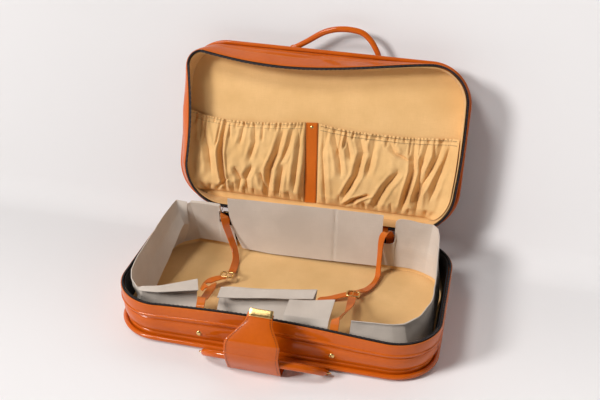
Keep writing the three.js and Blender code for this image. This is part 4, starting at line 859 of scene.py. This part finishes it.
def add_end_flaps():
    low = 14.5
    left_rear, left_front = REAR_MIDDLE + SIDE_STEPS[2] / 2, STATIONS
    left_end = left_rear + TURN_STEPS
    left = end_flap("left_cloth_flap", "left_flap", [
        (rear_station(-158), 20, (-164, 155.5, 72)),
        (rear_station(-193), 24, (-195, 157, 80)),
        (rear_station(-197), 24, (-197, 158, 116), (-197, 164, 118)),
        (left_rear + 1.0, 26, (-262, 157.5, 116), (-261, 164, 117)),
        (left_rear + 3.0, 24, (-266, 146, 60), (-268, 156, 114)),
        (left_rear + 4.0, 22, (-262, 138, 72), (-270, 158, 117)),
        (left_end, 20, (-266, 118, 84), (-294, 157, 118)),
        (left_end + 1.2, low, (-268, 74, 68), (-299, 90, 117)),
        (left_end + 2.6, low, (-268, 4, 50), (-297, 10, 115)),
        (left_front, low, (-267, -62, 34), (-296, -60, 113)),
        (left_front + 1.0, low, (-268, -104, 28), (-291, -110, 111)),
        (left_front + 1.9, low, (-276, -120, 60), (-288, -122, 99)),
        (left_front + 3.4, low, (-258, -137, 92), (-262, -145, 89)),
        (left_front + 4.4, low, (-226, -127, 93), (-224, -147, 93)),
        (front_station(-150) + STATIONS, low, (-161, -90, 95), (-150, -123, 95))],
        2.0, (0.44, 0.11), 0.66, 0.3)
    right_front = front_station(223)
    right_end = right_front + TURN_STEPS
    right = end_flap("right_cloth_flap", "right_flap", [
        (front_station(150), low, (150, -145, 97), (150, -148, 99)),
        (front_station(205), low, (190, -142, 97), (190, -145, 99)),
        (right_front + 1.2, low, (224, -138, 97), (226, -141, 99)),
        (right_front + 2.6, low, (246, -130, 97), (248, -132, 98)),
        (right_front + 4.0, low, (264, -108, 96), (266, -109, 97)),
        (right_front + 5.6, low, (280, -74, 96)),
        (right_end + 0.9, low, (289, -30, 95)),
        (right_end + 2.2, low, (287, 40, 96)),
        (right_end + 3.3, low, (284, 96, 116)),
        (right_end + 4.0, 20, (280, 130, 137)),
        (right_end + 6.4, 26, (276, 148, 141)),
        (right_end + 8.2, 24, (266, 160, 142)),
        (right_end + 9.6, 25, (244, 160, 142)),
        (rear_station(190), 25, (190, 159, 142)),
        (rear_station(187), 25, (187, 157.5, 88)),
        (rear_station(148), 25, (150, 156, 84))], 2.4, (0.44, 0.10), 0.57, 1.0)
    return left, right


def add_rear_flap():
    left, right = REAR_STRAPS[0] * STRAIGHT + 7, REAR_STRAPS[1] * STRAIGHT - 16
    rows, columns, crease_x, top = 40, 90, 60, 150.5

    def place(i, j):
        up, across = i / rows, j / columns
        edge = left + 34 * (1 - up) ** 2
        x = edge + (right - edge) * across
        crease = math.exp(-((x - crease_x) / 1.8) ** 2) * 1.8
        bend = 2.2 * noise.noise(Vector((x * 0.012, up * 2, 1)))
        foot = 16.2 + float(np.interp(x, (-143, -80, 20, 160), (5, 1, 4, 10)))
        z = foot + (top - foot) * up - 12 * up * (1 - across) ** 1.5 * 0.9
        return Vector((x, 154.4 + 3 * up + crease + bend * up, z))

    piece = sheet_piece("rear_cloth_flap", rows, columns, place, (0.136, 0.34))
    ride(piece, "rear_flap", "rear_flap")

    def on_face(x, z):
        i, j = (z - 16) / 134.5 * rows, (x - left) / (right - left) * columns
        return place(i, j) + Vector((0, -1.0, 0))

    # A dark thread line painted along the crease as painted shade, then short scuff marks near the top edge.
    crease_shade_and_scuff_marks = [[on_face(crease_x - 2 + 0.6 * math.sin(z * 0.2), z) for z in range(40, 147, 3)]]
    crease_shade_and_scuff_marks += [[on_face(x, z), on_face(x + 3.5, z + 4)] for x, z in ((3, 139), (9, 133), (38, 141), (44, 135))]
    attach(stitches("rear_flap_crease_shade_and_scuffs", crease_shade_and_scuff_marks, CREASE_SHADE_AND_SCUFF_GREY, 2.9, 3.0, 0.35), "rear_flap")
    return piece


def add_front_flap():
    rows, columns, tab_columns = 48, 80, 40
    table = [(0, 0, 0), (0.5, 0.5, 0), (0.93, 0.94, 0), (0.99, 0.99, 0), (1, 0.98, 0.12), (0.97, 1, 1)]
    tab_table = [(0, 0), (0.5, 0), (0.9, 0.02), (1, 0.16), (1, 0.6), (1, 1)]

    def place(i, j):
        along, across = i / rows * 5, j / columns
        up, lean, fold = (float(np.interp(along, range(6), [t[k] for t in table])) for k in range(3))
        x = -23 + (across - 0.5) * 182 + 4 * fold * (0.5 - across)
        wave = 1.8 * noise.noise(Vector((x * 0.02, along * 0.6, 7)))
        return Vector((x, 9 + LINING_FRONT + lean * (62 + 42 * across) - fold * 30,
                       15.5 + (88 - 15.5) * up + wave * up))

    def tab_place(i, j):
        along, across = i / rows * 5, j / tab_columns
        up, reach = (float(np.interp(along, range(6), [t[k] for t in tab_table])) for k in range(2))
        wave = 1.6 * noise.noise(Vector((across * 1.4, along * 0.7, 11)))
        return Vector((68 + (across - 0.5) * 84, 4 + LINING_FRONT + reach * (50 + 22 * across),
                       14.5 + (93 - 14.5) * up + reach * (6 + wave * 2)))

    piece = sheet_piece("front_cloth_flap", rows, columns, place, (0.13, 0.182))
    ride(piece, "base", "front_flap")
    tab = sheet_piece("front_cloth_tab", rows, tab_columns, tab_place, (0.14, 0.084))
    return piece, flatten(tab, "front_flap_tab")


left_flap, right_flap = add_end_flaps()
rear_flap = add_rear_flap()
front_flap, front_tab = add_front_flap()


# Tie-down straps, studs and buckles: for each side the shares of the front strap, the rear strap and the
# buckle, then the two straps' ways from the rim to the buckle
STRAPS = [
    ("left", -0.596, REAR_STRAPS[0], BUCKLES[0],
     [(-135, -149, 93), (-139, -136, 90), (-143, -116, 72), (-145, -90, 63), (-145, -62, 59), (-147, -43, 54),
      (-156, -35, 45), (-168, -34, 37), (-175, -23, 33), (-173, -8, 32), (-163, 4, 33), (-151, 14, 33)],
     [(-185, 156, 98), (-183, 149, 98), (-178, 144, 82), (-167, 138, 58), (-154, 126, 36), (-145, 108, 22),
      (-141, 82, 19), (-139, 59, 21), (-140, 48, 27)]),
    ("right", 0.552, REAR_STRAPS[1], BUCKLES[1],
     [(122, -149, 93), (121, -138, 92), (121, -118, 76), (123, -88, 60), (127, -60, 50), (129, -34, 43),
      (128, -4, 37)],
     [(176, 156, 109), (168, 149, 112), (162, 144, 99), (161, 142, 60), (161, 138, 30), (162, 122, 19),
      (157, 95, 18), (147, 69, 20), (134, 50, 26)]),
]
# How far each strap twists, in degrees, and where along it the twist begins and ends
TWISTS = {"left_front": (-62, 0.60), "left_rear": (-48, 0.16),
          "right_front": (-64, 0.28), "right_rear": (48, 0.16)}
TWIST_END = 0.88


def add_stud(side, half, x, height, facing, inner):
    """Rivet through the wall: a disc inside, a shank, and a domed head outside."""
    station = front_station(x) if facing < 0 else rear_station(x)
    face = base_at(station, height, 0).y * facing
    inner = inner * facing - 1.3
    profile = [(0, inner - 0.9), (1.6, inner - 0.8), (2.4, inner - 0.4), (2.5, inner), (2, inner),
               (2, face + 1.5), (5.3, face + 1.5), (5.9, face + 2.1), (5.7, face + 2.9),
               (4.8, face + 3.9), (3.4, face + 4.6), (1.7, face + 5.0), (0, face + 5.1)]
    ride(to_object(lathe(profile, (x, 0, height), (0, facing, 0)), f"{side}_{half}_brass_stud", BRASS),
         "base", f"{side}_{half}_stud")


def add_straps():
    bar = BUCKLE_LENGTH / 2 + BUCKLE_WIRE + SEAT
    for side, front_share, rear_share, buckle_share, front_way, rear_way in STRAPS:
        front_x, rear_x, buckle_x = (s * STRAIGHT for s in (front_share, rear_share, buckle_share))
        front_y = base_at(front_station(front_x), 26, -6.3).y + 1.9
        rear_y = base_at(rear_station(rear_x), 39, -6.3).y - 1.9
        front = [(front_x, front_y, height) for height in (26, 36, 56, 86)] + front_way
        rear = [(rear_x, rear_y, height) for height in (40, 60, 86)] + rear_way
        for half, way in (("front", front + [(buckle_x, BUCKLE_Y - bar, BUCKLE_Z)]),
                          ("rear", rear + [(buckle_x, BUCKLE_Y + bar, BUCKLE_Z)])):
            most, begin = TWISTS[f"{side}_{half}"]

            def turned(share):
                done = min(1, max(0, (share - begin) / (TWIST_END - begin)))
                return most * math.sin(math.pi * done) ** 0.8

            bm = strap(curve(way, 90), lambda s: STRAP_WIDTH, STRAP_THICKNESS, wave=0.6, twist=turned)
            flatten(to_object(bm, f"{side}_leather_{half}_strap", LEATHER), f"{side}_strap_{half}")
        path = [Vector((buckle_x + x, BUCKLE_Y + y, BUCKLE_Z)) for x, y in rounded_frame(25, 17)]
        bm = tube(path, lambda s: 1.9, (0, 0, 1), 12, True)
        ride(to_object(bm, f"{side}_brass_buckle", BRASS), "base", f"{side}_buckle")
        prong = [(buckle_x, BUCKLE_Y + y, BUCKLE_Z + z) for y, z in ((-9, 2.6), (0, 2.9), (9, 2.6))]
        bm = tube(curve(prong, 12), lambda s: 1.0 - 0.35 * s ** 3, (1, 0, 0), 10)
        ride(to_object(bm, f"{side}_brass_prong", BRASS), f"{side}_prong", f"{side}_buckle_prong")
        add_stud(side, "front", front_x, 36, -1, front_y)
        add_stud(side, "rear", rear_x, 49, 1, rear_y)
    start, length, drift, high, low = BUCKLES[1] * STRAIGHT + 14, 84, 16, 29, 16
    shares = [(0, 0, 0), (0.3, 0, 0.04), (0.5, 0.25, 0.35), (0.75, 0.65, 0.8), (1, 1, 1)]
    tail = [(start - across * length, BUCKLE_Y - forward * drift, high + (low - high) * down)
            for across, forward, down in shares]
    bm = strap(curve(tail, 40), lambda s: STRAP_WIDTH - 10 * max(0, (s - 0.9) / 0.1) ** 2, 2.0,
               side=(0, 1, 0))
    ride(to_object(bm, "right_leather_strap_tail", LEATHER), "base", "right_strap_tail")


add_straps()

# Wrap-over lock flap
FLAP_X, FLAP_HALF, FLAP_THICKNESS = -12.0, 51.0, 3.2
NECK_HALF, NECK_START, NECK_RISE = 24.5, 86, 44
FLAP_STEPS = 130
THREAD_FIRST, THREAD_LAST, THREAD_INSET = 38, 126, 4.5


def flap_line():
    """Side view of the lock flap from its root under the case to its neck."""
    lower = [(-132.4, 1.8), (-160, 1.8), (-182, 1.8), (-213, 2.3)]
    lower += [(-219 - 31 * s - 9 * math.sin(math.pi * s), 1.8 + (89 - 1.8) * s) for s in
              (0.03, 0.2, 0.4, 0.6, 0.8, 0.93)]
    upper = [(-249.5, 92), (-244, 99), (-231.5, 112.5), (-217.5, 126), (-211, 132.5)]
    return curve([(0, y, z) for y, z in lower + upper], FLAP_STEPS)


def flap_half_width(point):
    if point.z < NECK_START:
        return FLAP_HALF
    share = min(1, (point.z - NECK_START) / NECK_RISE)
    return FLAP_HALF - (FLAP_HALF - NECK_HALF) * (0.5 - 0.5 * math.cos(math.pi * min(1, share * 1.04)))


def flap_middle(point):
    return FLAP_X + 9.5 * min(1, max(0, (point.z - 60) / 72)) ** 1.3


def normal_of(way):
    return Vector((0, -way.z, way.y))


def bend_at_root(piece):
    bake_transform(piece)


def bend_at_crease(piece):
    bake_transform(piece)


def add_lock_flap():
    line = flap_line()
    normals = [normal_of(way) for way in tangents(line)]
    split = min(range(len(line)), key=lambda i: abs(line[i].z - 62) + (0 if line[i].y < -215 else 99))
    columns = 36

    def part(first, last, name):
        count = last - first

        def place(i, j):
            k = first + i
            across = -1 + 2 * j / columns
            point = line[k].copy()
            point.x = flap_middle(line[k]) + across * flap_half_width(line[k])
            sag = 1.4 * noise.noise(Vector((point.x * 0.02, k * 0.05, 2)))
            curl = -1.8 * across ** 4
            return point + normals[k] * (curl * min(1, max(0, point.z - 10) / 20) + sag * 0.6)

        bm = thicken(net(count, columns, place, (count / FLAP_STEPS * 0.24, 0.1)), FLAP_THICKNESS)
        round_edges(bm, 1.0, 0.7, 2)
        piece = to_object(bm, name, [LEATHER, DARK_LEATHER], 50)
        return paint(piece, lambda middle, normal: abs(normal.x) > 0.55)

    lower = part(0, split, "lock_flap_leather_lower")
    bend_at_root(lower)
    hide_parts("lock_flap_root", "lock_flap_lower")
    upper = part(split, FLAP_STEPS, "lock_flap_leather_upper")
    bend_at_crease(upper)
    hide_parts("lock_flap_upper")

    halves = []
    for side in (-1, 1):
        run = []
        for k in range(THREAD_FIRST, THREAD_LAST):
            half = flap_half_width(line[k]) - THREAD_INSET
            run.append(Vector((flap_middle(line[k]) + side * half, line[k].y, line[k].z)) - normals[k] * 0.1)
        halves.append(run)
    seam = split - THREAD_FIRST
    bend_at_root(stitches("lock_flap_thread_lower", [run[:seam] for run in halves], BROWN_THREAD,
                          3.0, 3.9, 0.45))
    bend_at_crease(stitches("lock_flap_thread_upper", [run[seam + 1:] for run in halves], BROWN_THREAD,
                            3.0, 3.9, 0.45))


def add_cap():
    """Folded brass plate over the lock flap's end, with its lip."""
    line = flap_line()
    end, along = line[-1], tangents(line)[-1]
    away = normal_of(along)
    if away.y > 0:
        away = -away
    profile = [(-6.5, 3.4), (-6.0, 3.9), (6.4, 3.9), (7.6, 3.5), (8.2, 2.4), (8.2, -3.4), (7.2, -4.4),
               (-6.0, -4.4), (-6.5, -3.9)]
    middle, width = flap_middle(end) + 1, 43

    def place(i, j):
        up, out = profile[j % len(profile)]
        return Vector((middle + (i / 8 - 0.5) * width, end.y, end.z)) + along * (up - 1) + away * out

    bm = net(8, len(profile), place, (0.04, 0.03), True)
    round_edges(bm, 0.9, 0.6, 3)
    ride(to_object(bm, "lock_brass_cap", BRASS, 35), "lock_flap_cap", "lock_flap_cap")
    low = end + along * -4.6 + away * 4.2
    lip = [Vector((middle + x, low.y, low.z)) for x in (-21, -10, 0, 10, 21)]
    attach(to_object(tube(lip, lambda share: 0.8, (0, 0, 1), 8), "lock_cap_lip", BRASS), "lock_flap_cap")


add_lock_flap()
add_cap()
refined("lock_keeper", "lock_brass_keeper", 0.6, "lid")
refined("lock_release", "lock_brass_release", 0.5, "lock_release")
for zip_side in ("left", "right"):
    refined(f"zip_slider_{zip_side}", f"{zip_side}_brass_slider", 0.8, f"zip_slider_{zip_side}")
    refined(f"zip_pull_{zip_side}", f"{zip_side}_brass_pull", 0.6, f"zip_pull_{zip_side}")


# Handles
def add_handle(prefix, bar, lift, span, height, radius, shares, to_world, tab_root):
    """Grip, rings and tabs. Bar is the middle of the rings' hinge line, lift how far the grip is turned
    up, and shares the grip's line as shares of half its span and of its height."""
    turn = Matrix.Rotation(lift, 3, "X")

    def out(point):
        placed = turn @ Vector(point) + Vector(bar)
        return to_world(placed) if to_world else placed

    def radius_at(share):
        return radius + 0.8 * math.sin(math.pi * min(1, max(0, share))) ** 0.5

    foot = RING_LENGTH + RING_WIRE + SEAT
    path = curve([(a * span / 2, 0, foot + u * height) for a, u in shares], 110)
    body = f"{prefix}_handle"
    bm = tube(path, radius_at, (0, 1, 0), 22, flat=0.92, to_world=out)
    grip = to_object(bm, f"{prefix}_leather_grip", [LEATHER, DARK_LEATHER])
    centre = out(Vector((0, 0, foot - 60)))
    paint(grip, lambda middle, normal: normal.dot((centre - middle).normalized()) > 0.93)
    ride(grip, body, f"{prefix}_handle_grip")
    for side, sign in (("left", -1), ("right", 1)):
        wire = [Vector((sign * span / 2 + x, 0, RING_LENGTH / 2 + z))
                for x, z in rounded_frame(RING_WIDTH, RING_LENGTH)]
        bm = tube(wire, lambda s: 1.6, (0, 1, 0), 12, True, to_world=out)
        ride(to_object(bm, f"{prefix}_{side}_brass_ring", BRASS), body, f"{prefix}_{side}_ring")
        away = math.copysign(1, bar[1] - tab_root[0])
        under = math.copysign(1, tab_root[1] - bar[2])
        x = bar[0] + sign * span / 2
        line = [(x, tab_root[0], tab_root[1]), (x, (tab_root[0] + bar[1]) / 2, tab_root[1])]
        line += [(x, bar[1] + away * TAB_CURL * math.sin(t), bar[2] + under * TAB_CURL * math.cos(t))
                 for t in (math.pi * 1.35 * i / 9 for i in range(10))]
        bm = strap(curve(line, 40), lambda s: STRAP_WIDTH, STRAP_THICKNESS, to_world=to_world)
        ride(to_object(bm, f"{prefix}_{side}_leather_tab", LEATHER), prefix, f"{prefix}_{side}_tab")


BASE_BAR_Y, LID_BAR_Y, TAB_Z = -190, 162, 1.4
BASE_GRIP = [(-1, 0), (-1, 0.12), (-0.96, 0.36), (-0.84, 0.66), (-0.6, 0.88), (-0.3, 0.97), (0, 1),
             (0.3, 0.97), (0.6, 0.88), (0.84, 0.66), (0.96, 0.36), (1, 0.12), (1, 0)]
LID_GRIP = [(-1, 0), (-1, 0.07), (-0.9, 0.13), (-0.65, 0.4), (-0.35, 0.75), (-0.1, 0.93), (0.16, 1),
            (0.4, 0.99), (0.61, 0.9), (0.8, 0.64), (0.94, 0.3), (1, 0.1), (1, 0)]
add_handle("base", (0, BASE_BAR_Y, TAB_Z + TAB_CURL), math.radians(90 - 42), 224, 40, 7.7, BASE_GRIP, None,
           (-138.4, TAB_Z))
add_handle("lid", (4, LID_BAR_Y, -TAB_Z - TAB_CURL), -math.pi / 2, 190, 54, 5.6, LID_GRIP, lid_world,
           (LID_BAR_Y - TAB_LENGTH, -TAB_Z))


# Gathered pockets and centre strap in the lid
def centre_line(y):
    return -26 + 13 * (20 - y) / 170


def wall_side(side):
    """The lid lining's side as an across position for any y."""
    line = [lid_at(k / FINE, 32.0, -8.2) for k in range(STATIONS * FINE)]
    line = sorted((point.y, point.x) for point in line if point.x * side > FOOT_X - 60)
    return lambda y: np.interp(y, [y_ for y_, _ in line], [x for _, x in line])


def fold_field(x, y, folds):
    """Depth and sideways pull of the folds; a fold is a line of places, then its depth and half width."""
    drop, pull = np.zeros_like(x), np.zeros_like(x)
    for line, depth, width in folds:
        line = sorted((q, p) for p, q in line)
        heights = [q for q, _ in line]
        soft = max(9, 0.36 * (heights[-1] - heights[0]))
        reach = np.clip((y - heights[0]) / soft + 0.3, 0, 1) * np.clip((heights[-1] - y) / soft + 0.5, 0, 1)
        reach = reach * reach * (3 - 2 * reach)
        distance = (x - np.interp(y, heights, [p for _, p in line])) / (0.66 * width)
        valley = 0.42 * np.exp(-np.abs(distance / 2.6) ** 1.7) + 0.58 * np.exp(-np.abs(distance) ** 1.2)
        ridge = 0.14 * np.exp(-((np.abs(distance) - 4.2) / 1.5) ** 2)
        drop += depth * reach * (valley - ridge)
        pull -= width * 0.3 * reach * distance * np.exp(-distance ** 2)
    return drop, pull


def small_gathers(side, hem, seed):
    """Short folds under the hem and above the foot seam."""
    dice = random.Random(seed)
    folds = []
    x = 12.0
    while x < 278:
        place = side * x + (-20 if side < 0 else -17)
        top = hem(place)
        length = dice.choice((14, 18, 26, 40, 60))
        lean = dice.uniform(-0.12, 0.12) * length
        folds.append(([(place, top - 2), (place + lean, top - length)], dice.uniform(3.4, 6.5),
                      dice.uniform(1.6, 2.6)))
        x += dice.uniform(9, 19)
    x = 20.0
    while x < 262:
        place = side * x + (-12 if side < 0 else 4)
        length = dice.uniform(10, 26)
        lean = dice.uniform(-0.3, 0.3) * length
        folds.append(([(place, POCKET_FOOT), (place + lean, POCKET_FOOT + length)], dice.uniform(2.5, 5),
                      dice.uniform(2.2, 3.6)))
        x += dice.uniform(18, 38)
    return folds


def add_pocket(name, node, side, hem_line, folds, seed):
    columns, rows = 264, 78

    def hem(x):
        return float(np.interp(x, [p for p, _ in hem_line], [q for _, q in hem_line]))

    every = folds + small_gathers(side, hem, seed)
    across, up = np.meshgrid(np.linspace(0, 1, columns + 1), np.linspace(0, 1, rows + 1), indexing="ij")
    flat_end = side * 290
    begin = centre_line(20)
    top = np.array([hem(begin + side * 15 + (flat_end - begin) * a) for a in across[:, 0]])
    y = POCKET_FOOT + (top[:, None] - POCKET_FOOT) * up
    inner = centre_line(y) + side * 14.6
    x = inner + (wall_side(side)(y) - inner) * across
    drop, pull = fold_field(x, y, every)
    span = np.abs(x - inner)
    pinned = np.minimum(1, span / 12) ** 0.6 * np.minimum(1, up * 9) ** 0.55
    belly = 5.5 + 12.5 * np.sin(np.pi * np.clip((1 - up) * 0.66 + 0.02, 0, 1)) ** 1.2
    frill = np.clip((up - 0.955) / 0.045, 0, 1) * 1.7 * np.sin(span / 1.25 + 2.2 * np.sin(span / 17))
    pinch = 1.9 * np.exp(-((up - 0.948) / 0.014) ** 2)
    climb = 15 * np.clip((across - 0.93) / 0.07, 0, 1) ** 1.6
    sway = np.array([[noise.noise(Vector((x[i, j] * 0.028, y[i, j] * 0.02, side * 4)))
                      + 0.5 * noise.noise(Vector((x[i, j] * 0.07, y[i, j] * 0.05, side * 9)))
                      for j in range(rows + 1)] for i in range(columns + 1)])
    lift = pinned * (np.maximum(1.5, belly + 4.6 * sway) * np.exp(-drop / 7.4) + frill - pinch)
    x = x + pull * np.minimum(1, (1 - across) * 12) * np.minimum(1, span / 8)
    z = 15.6 + climb + np.maximum(0, lift)

    def place(i, j):
        return Vector((x[i, j], y[i, j], z[i, j]))

    around = float(np.hypot(np.diff(x[:, 60]), np.diff(z[:, 60])).sum())
    bm = thicken(net(columns, rows, place, (around * MM, 0.19), to_world=lid_world), 0.9)
    piece = ride(to_object(bm, name, TAN, 70), "lid", node)
    hems = [[place(i, round(level * rows)) + Vector((0, 0, 0.8)) for i in range(4, columns - 3, 2)]
            for level in (0.925, 0.975)]
    threads = stitches(f"{name}_hem_thread", hems, BROWN_THREAD, 2.5, 3.5, 0.55, lid_world)
    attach(threads, "lid")
    return piece, threads


LEFT_HEM = [(-310, 24), (-298, 22), (-270, 14), (-217, 9), (-164, 10), (-104, 15), (-43, 23), (-30, 24)]
RIGHT_HEM = [(-15, 25), (20, 20), (78, 16), (142, 16), (198, 17), (301, 26)]
LEFT_FOLDS = [
    ([(-218, 8), (-223, -29), (-223, -62), (-216, -102), (-203, -152)], 17, 3.2),
    ([(-88, -2), (-96, -50), (-108, -88), (-108, -150)], 16, 4.2),
    ([(-177, 2), (-182, -42)], 7, 3.2), ([(-152, 0), (-148, -34), (-156, -74)], 6.5, 3.6),
    ([(-66, 4), (-72, -32), (-84, -70)], 9, 4.0), ([(-54, 6), (-48, -29), (-50, -130)], 9, 4.0),
    ([(-276, -2), (-252, -62), (-241, -110)], 6, 5.0), ([(-228, -150), (-204, -122)], 8, 2.6),
    ([(-186, -96), (-172, -118), (-176, -150)], 6, 4.0), ([(-150, -88), (-160, -116), (-152, -150)], 7, 4.5),
    ([(-126, -100), (-112, -140)], 6, 4.0), ([(-80, -80), (-84, -148)], 6, 3.6)]
RIGHT_FOLDS = [
    ([(2, 8), (5, -45), (22, -142)], 8, 4.4), ([(25, 8), (41, -40), (51, -80)], 9, 4.4),
    ([(50, 10), (61, -23), (68, -46)], 7, 3.6), ([(81, 8), (93, -27), (85, -78), (60, -134)], 13, 4.6),
    ([(114, 12), (113, -31), (107, -76)], 7, 4.6), ([(143, 8), (160, -18), (196, -34)], 10, 5.0),
    ([(199, 10), (205, -55), (190, -140)], 16, 3.8), ([(230, 14), (220, -46), (221, -146)], 10, 4.2),
    ([(261, 14), (252, -21), (212, -118)], 11, 4.4), ([(277, 14), (267, -33), (247, -112)], 8, 4.4),
    ([(112, -118), (90, -128), (66, -148)], 12, 4.5), ([(172, -62), (150, -96), (128, -146)], 9, 5.0)]

left_pocket = add_pocket("left_gathered_pocket", "lid_left_pocket", -1, LEFT_HEM, LEFT_FOLDS, 11)
right_pocket = add_pocket("right_gathered_pocket", "lid_right_pocket", 1, RIGHT_HEM, RIGHT_FOLDS, 5)


def add_centre_strap():
    def level(y):
        return 16.2 + 0.5 * math.sin(y * 0.05)

    line = curve([(centre_line(y), y, level(y)) for y in (-152, -110, -60, -20, 24)], 60)
    bm = strap(line, lambda s: 25, 2.4, to_world=lid_world)
    ride(to_object(bm, "centre_leather_strap", LEATHER), "lid", "lid_centre_strap")
    runs = [[Vector((centre_line(y) + s * 10.3, y, level(y) + 1.35)) for y in range(-150, 22, 2)]
            for s in (-1, 1)]
    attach(stitches("centre_strap_thread", runs, BROWN_THREAD, 2.2, 3.6, 0.3, lid_world), "lid")
    rivet_y, top = 14, 17.3
    middle, above = (lid_world(Vector((centre_line(rivet_y), rivet_y, z))) for z in (top, top + 1))
    profile = [(0, 0), (3.4, 0), (3.6, 0.4), (3.2, 1.1), (2.2, 1.65), (1.1, 1.9), (0, 1.95)]
    ride(to_object(lathe(profile, middle, (above - middle).normalized()), "centre_strap_brass_rivet", BRASS),
         "lid", "lid_strap_rivet")


add_centre_strap()


set_camera()
set_stage()
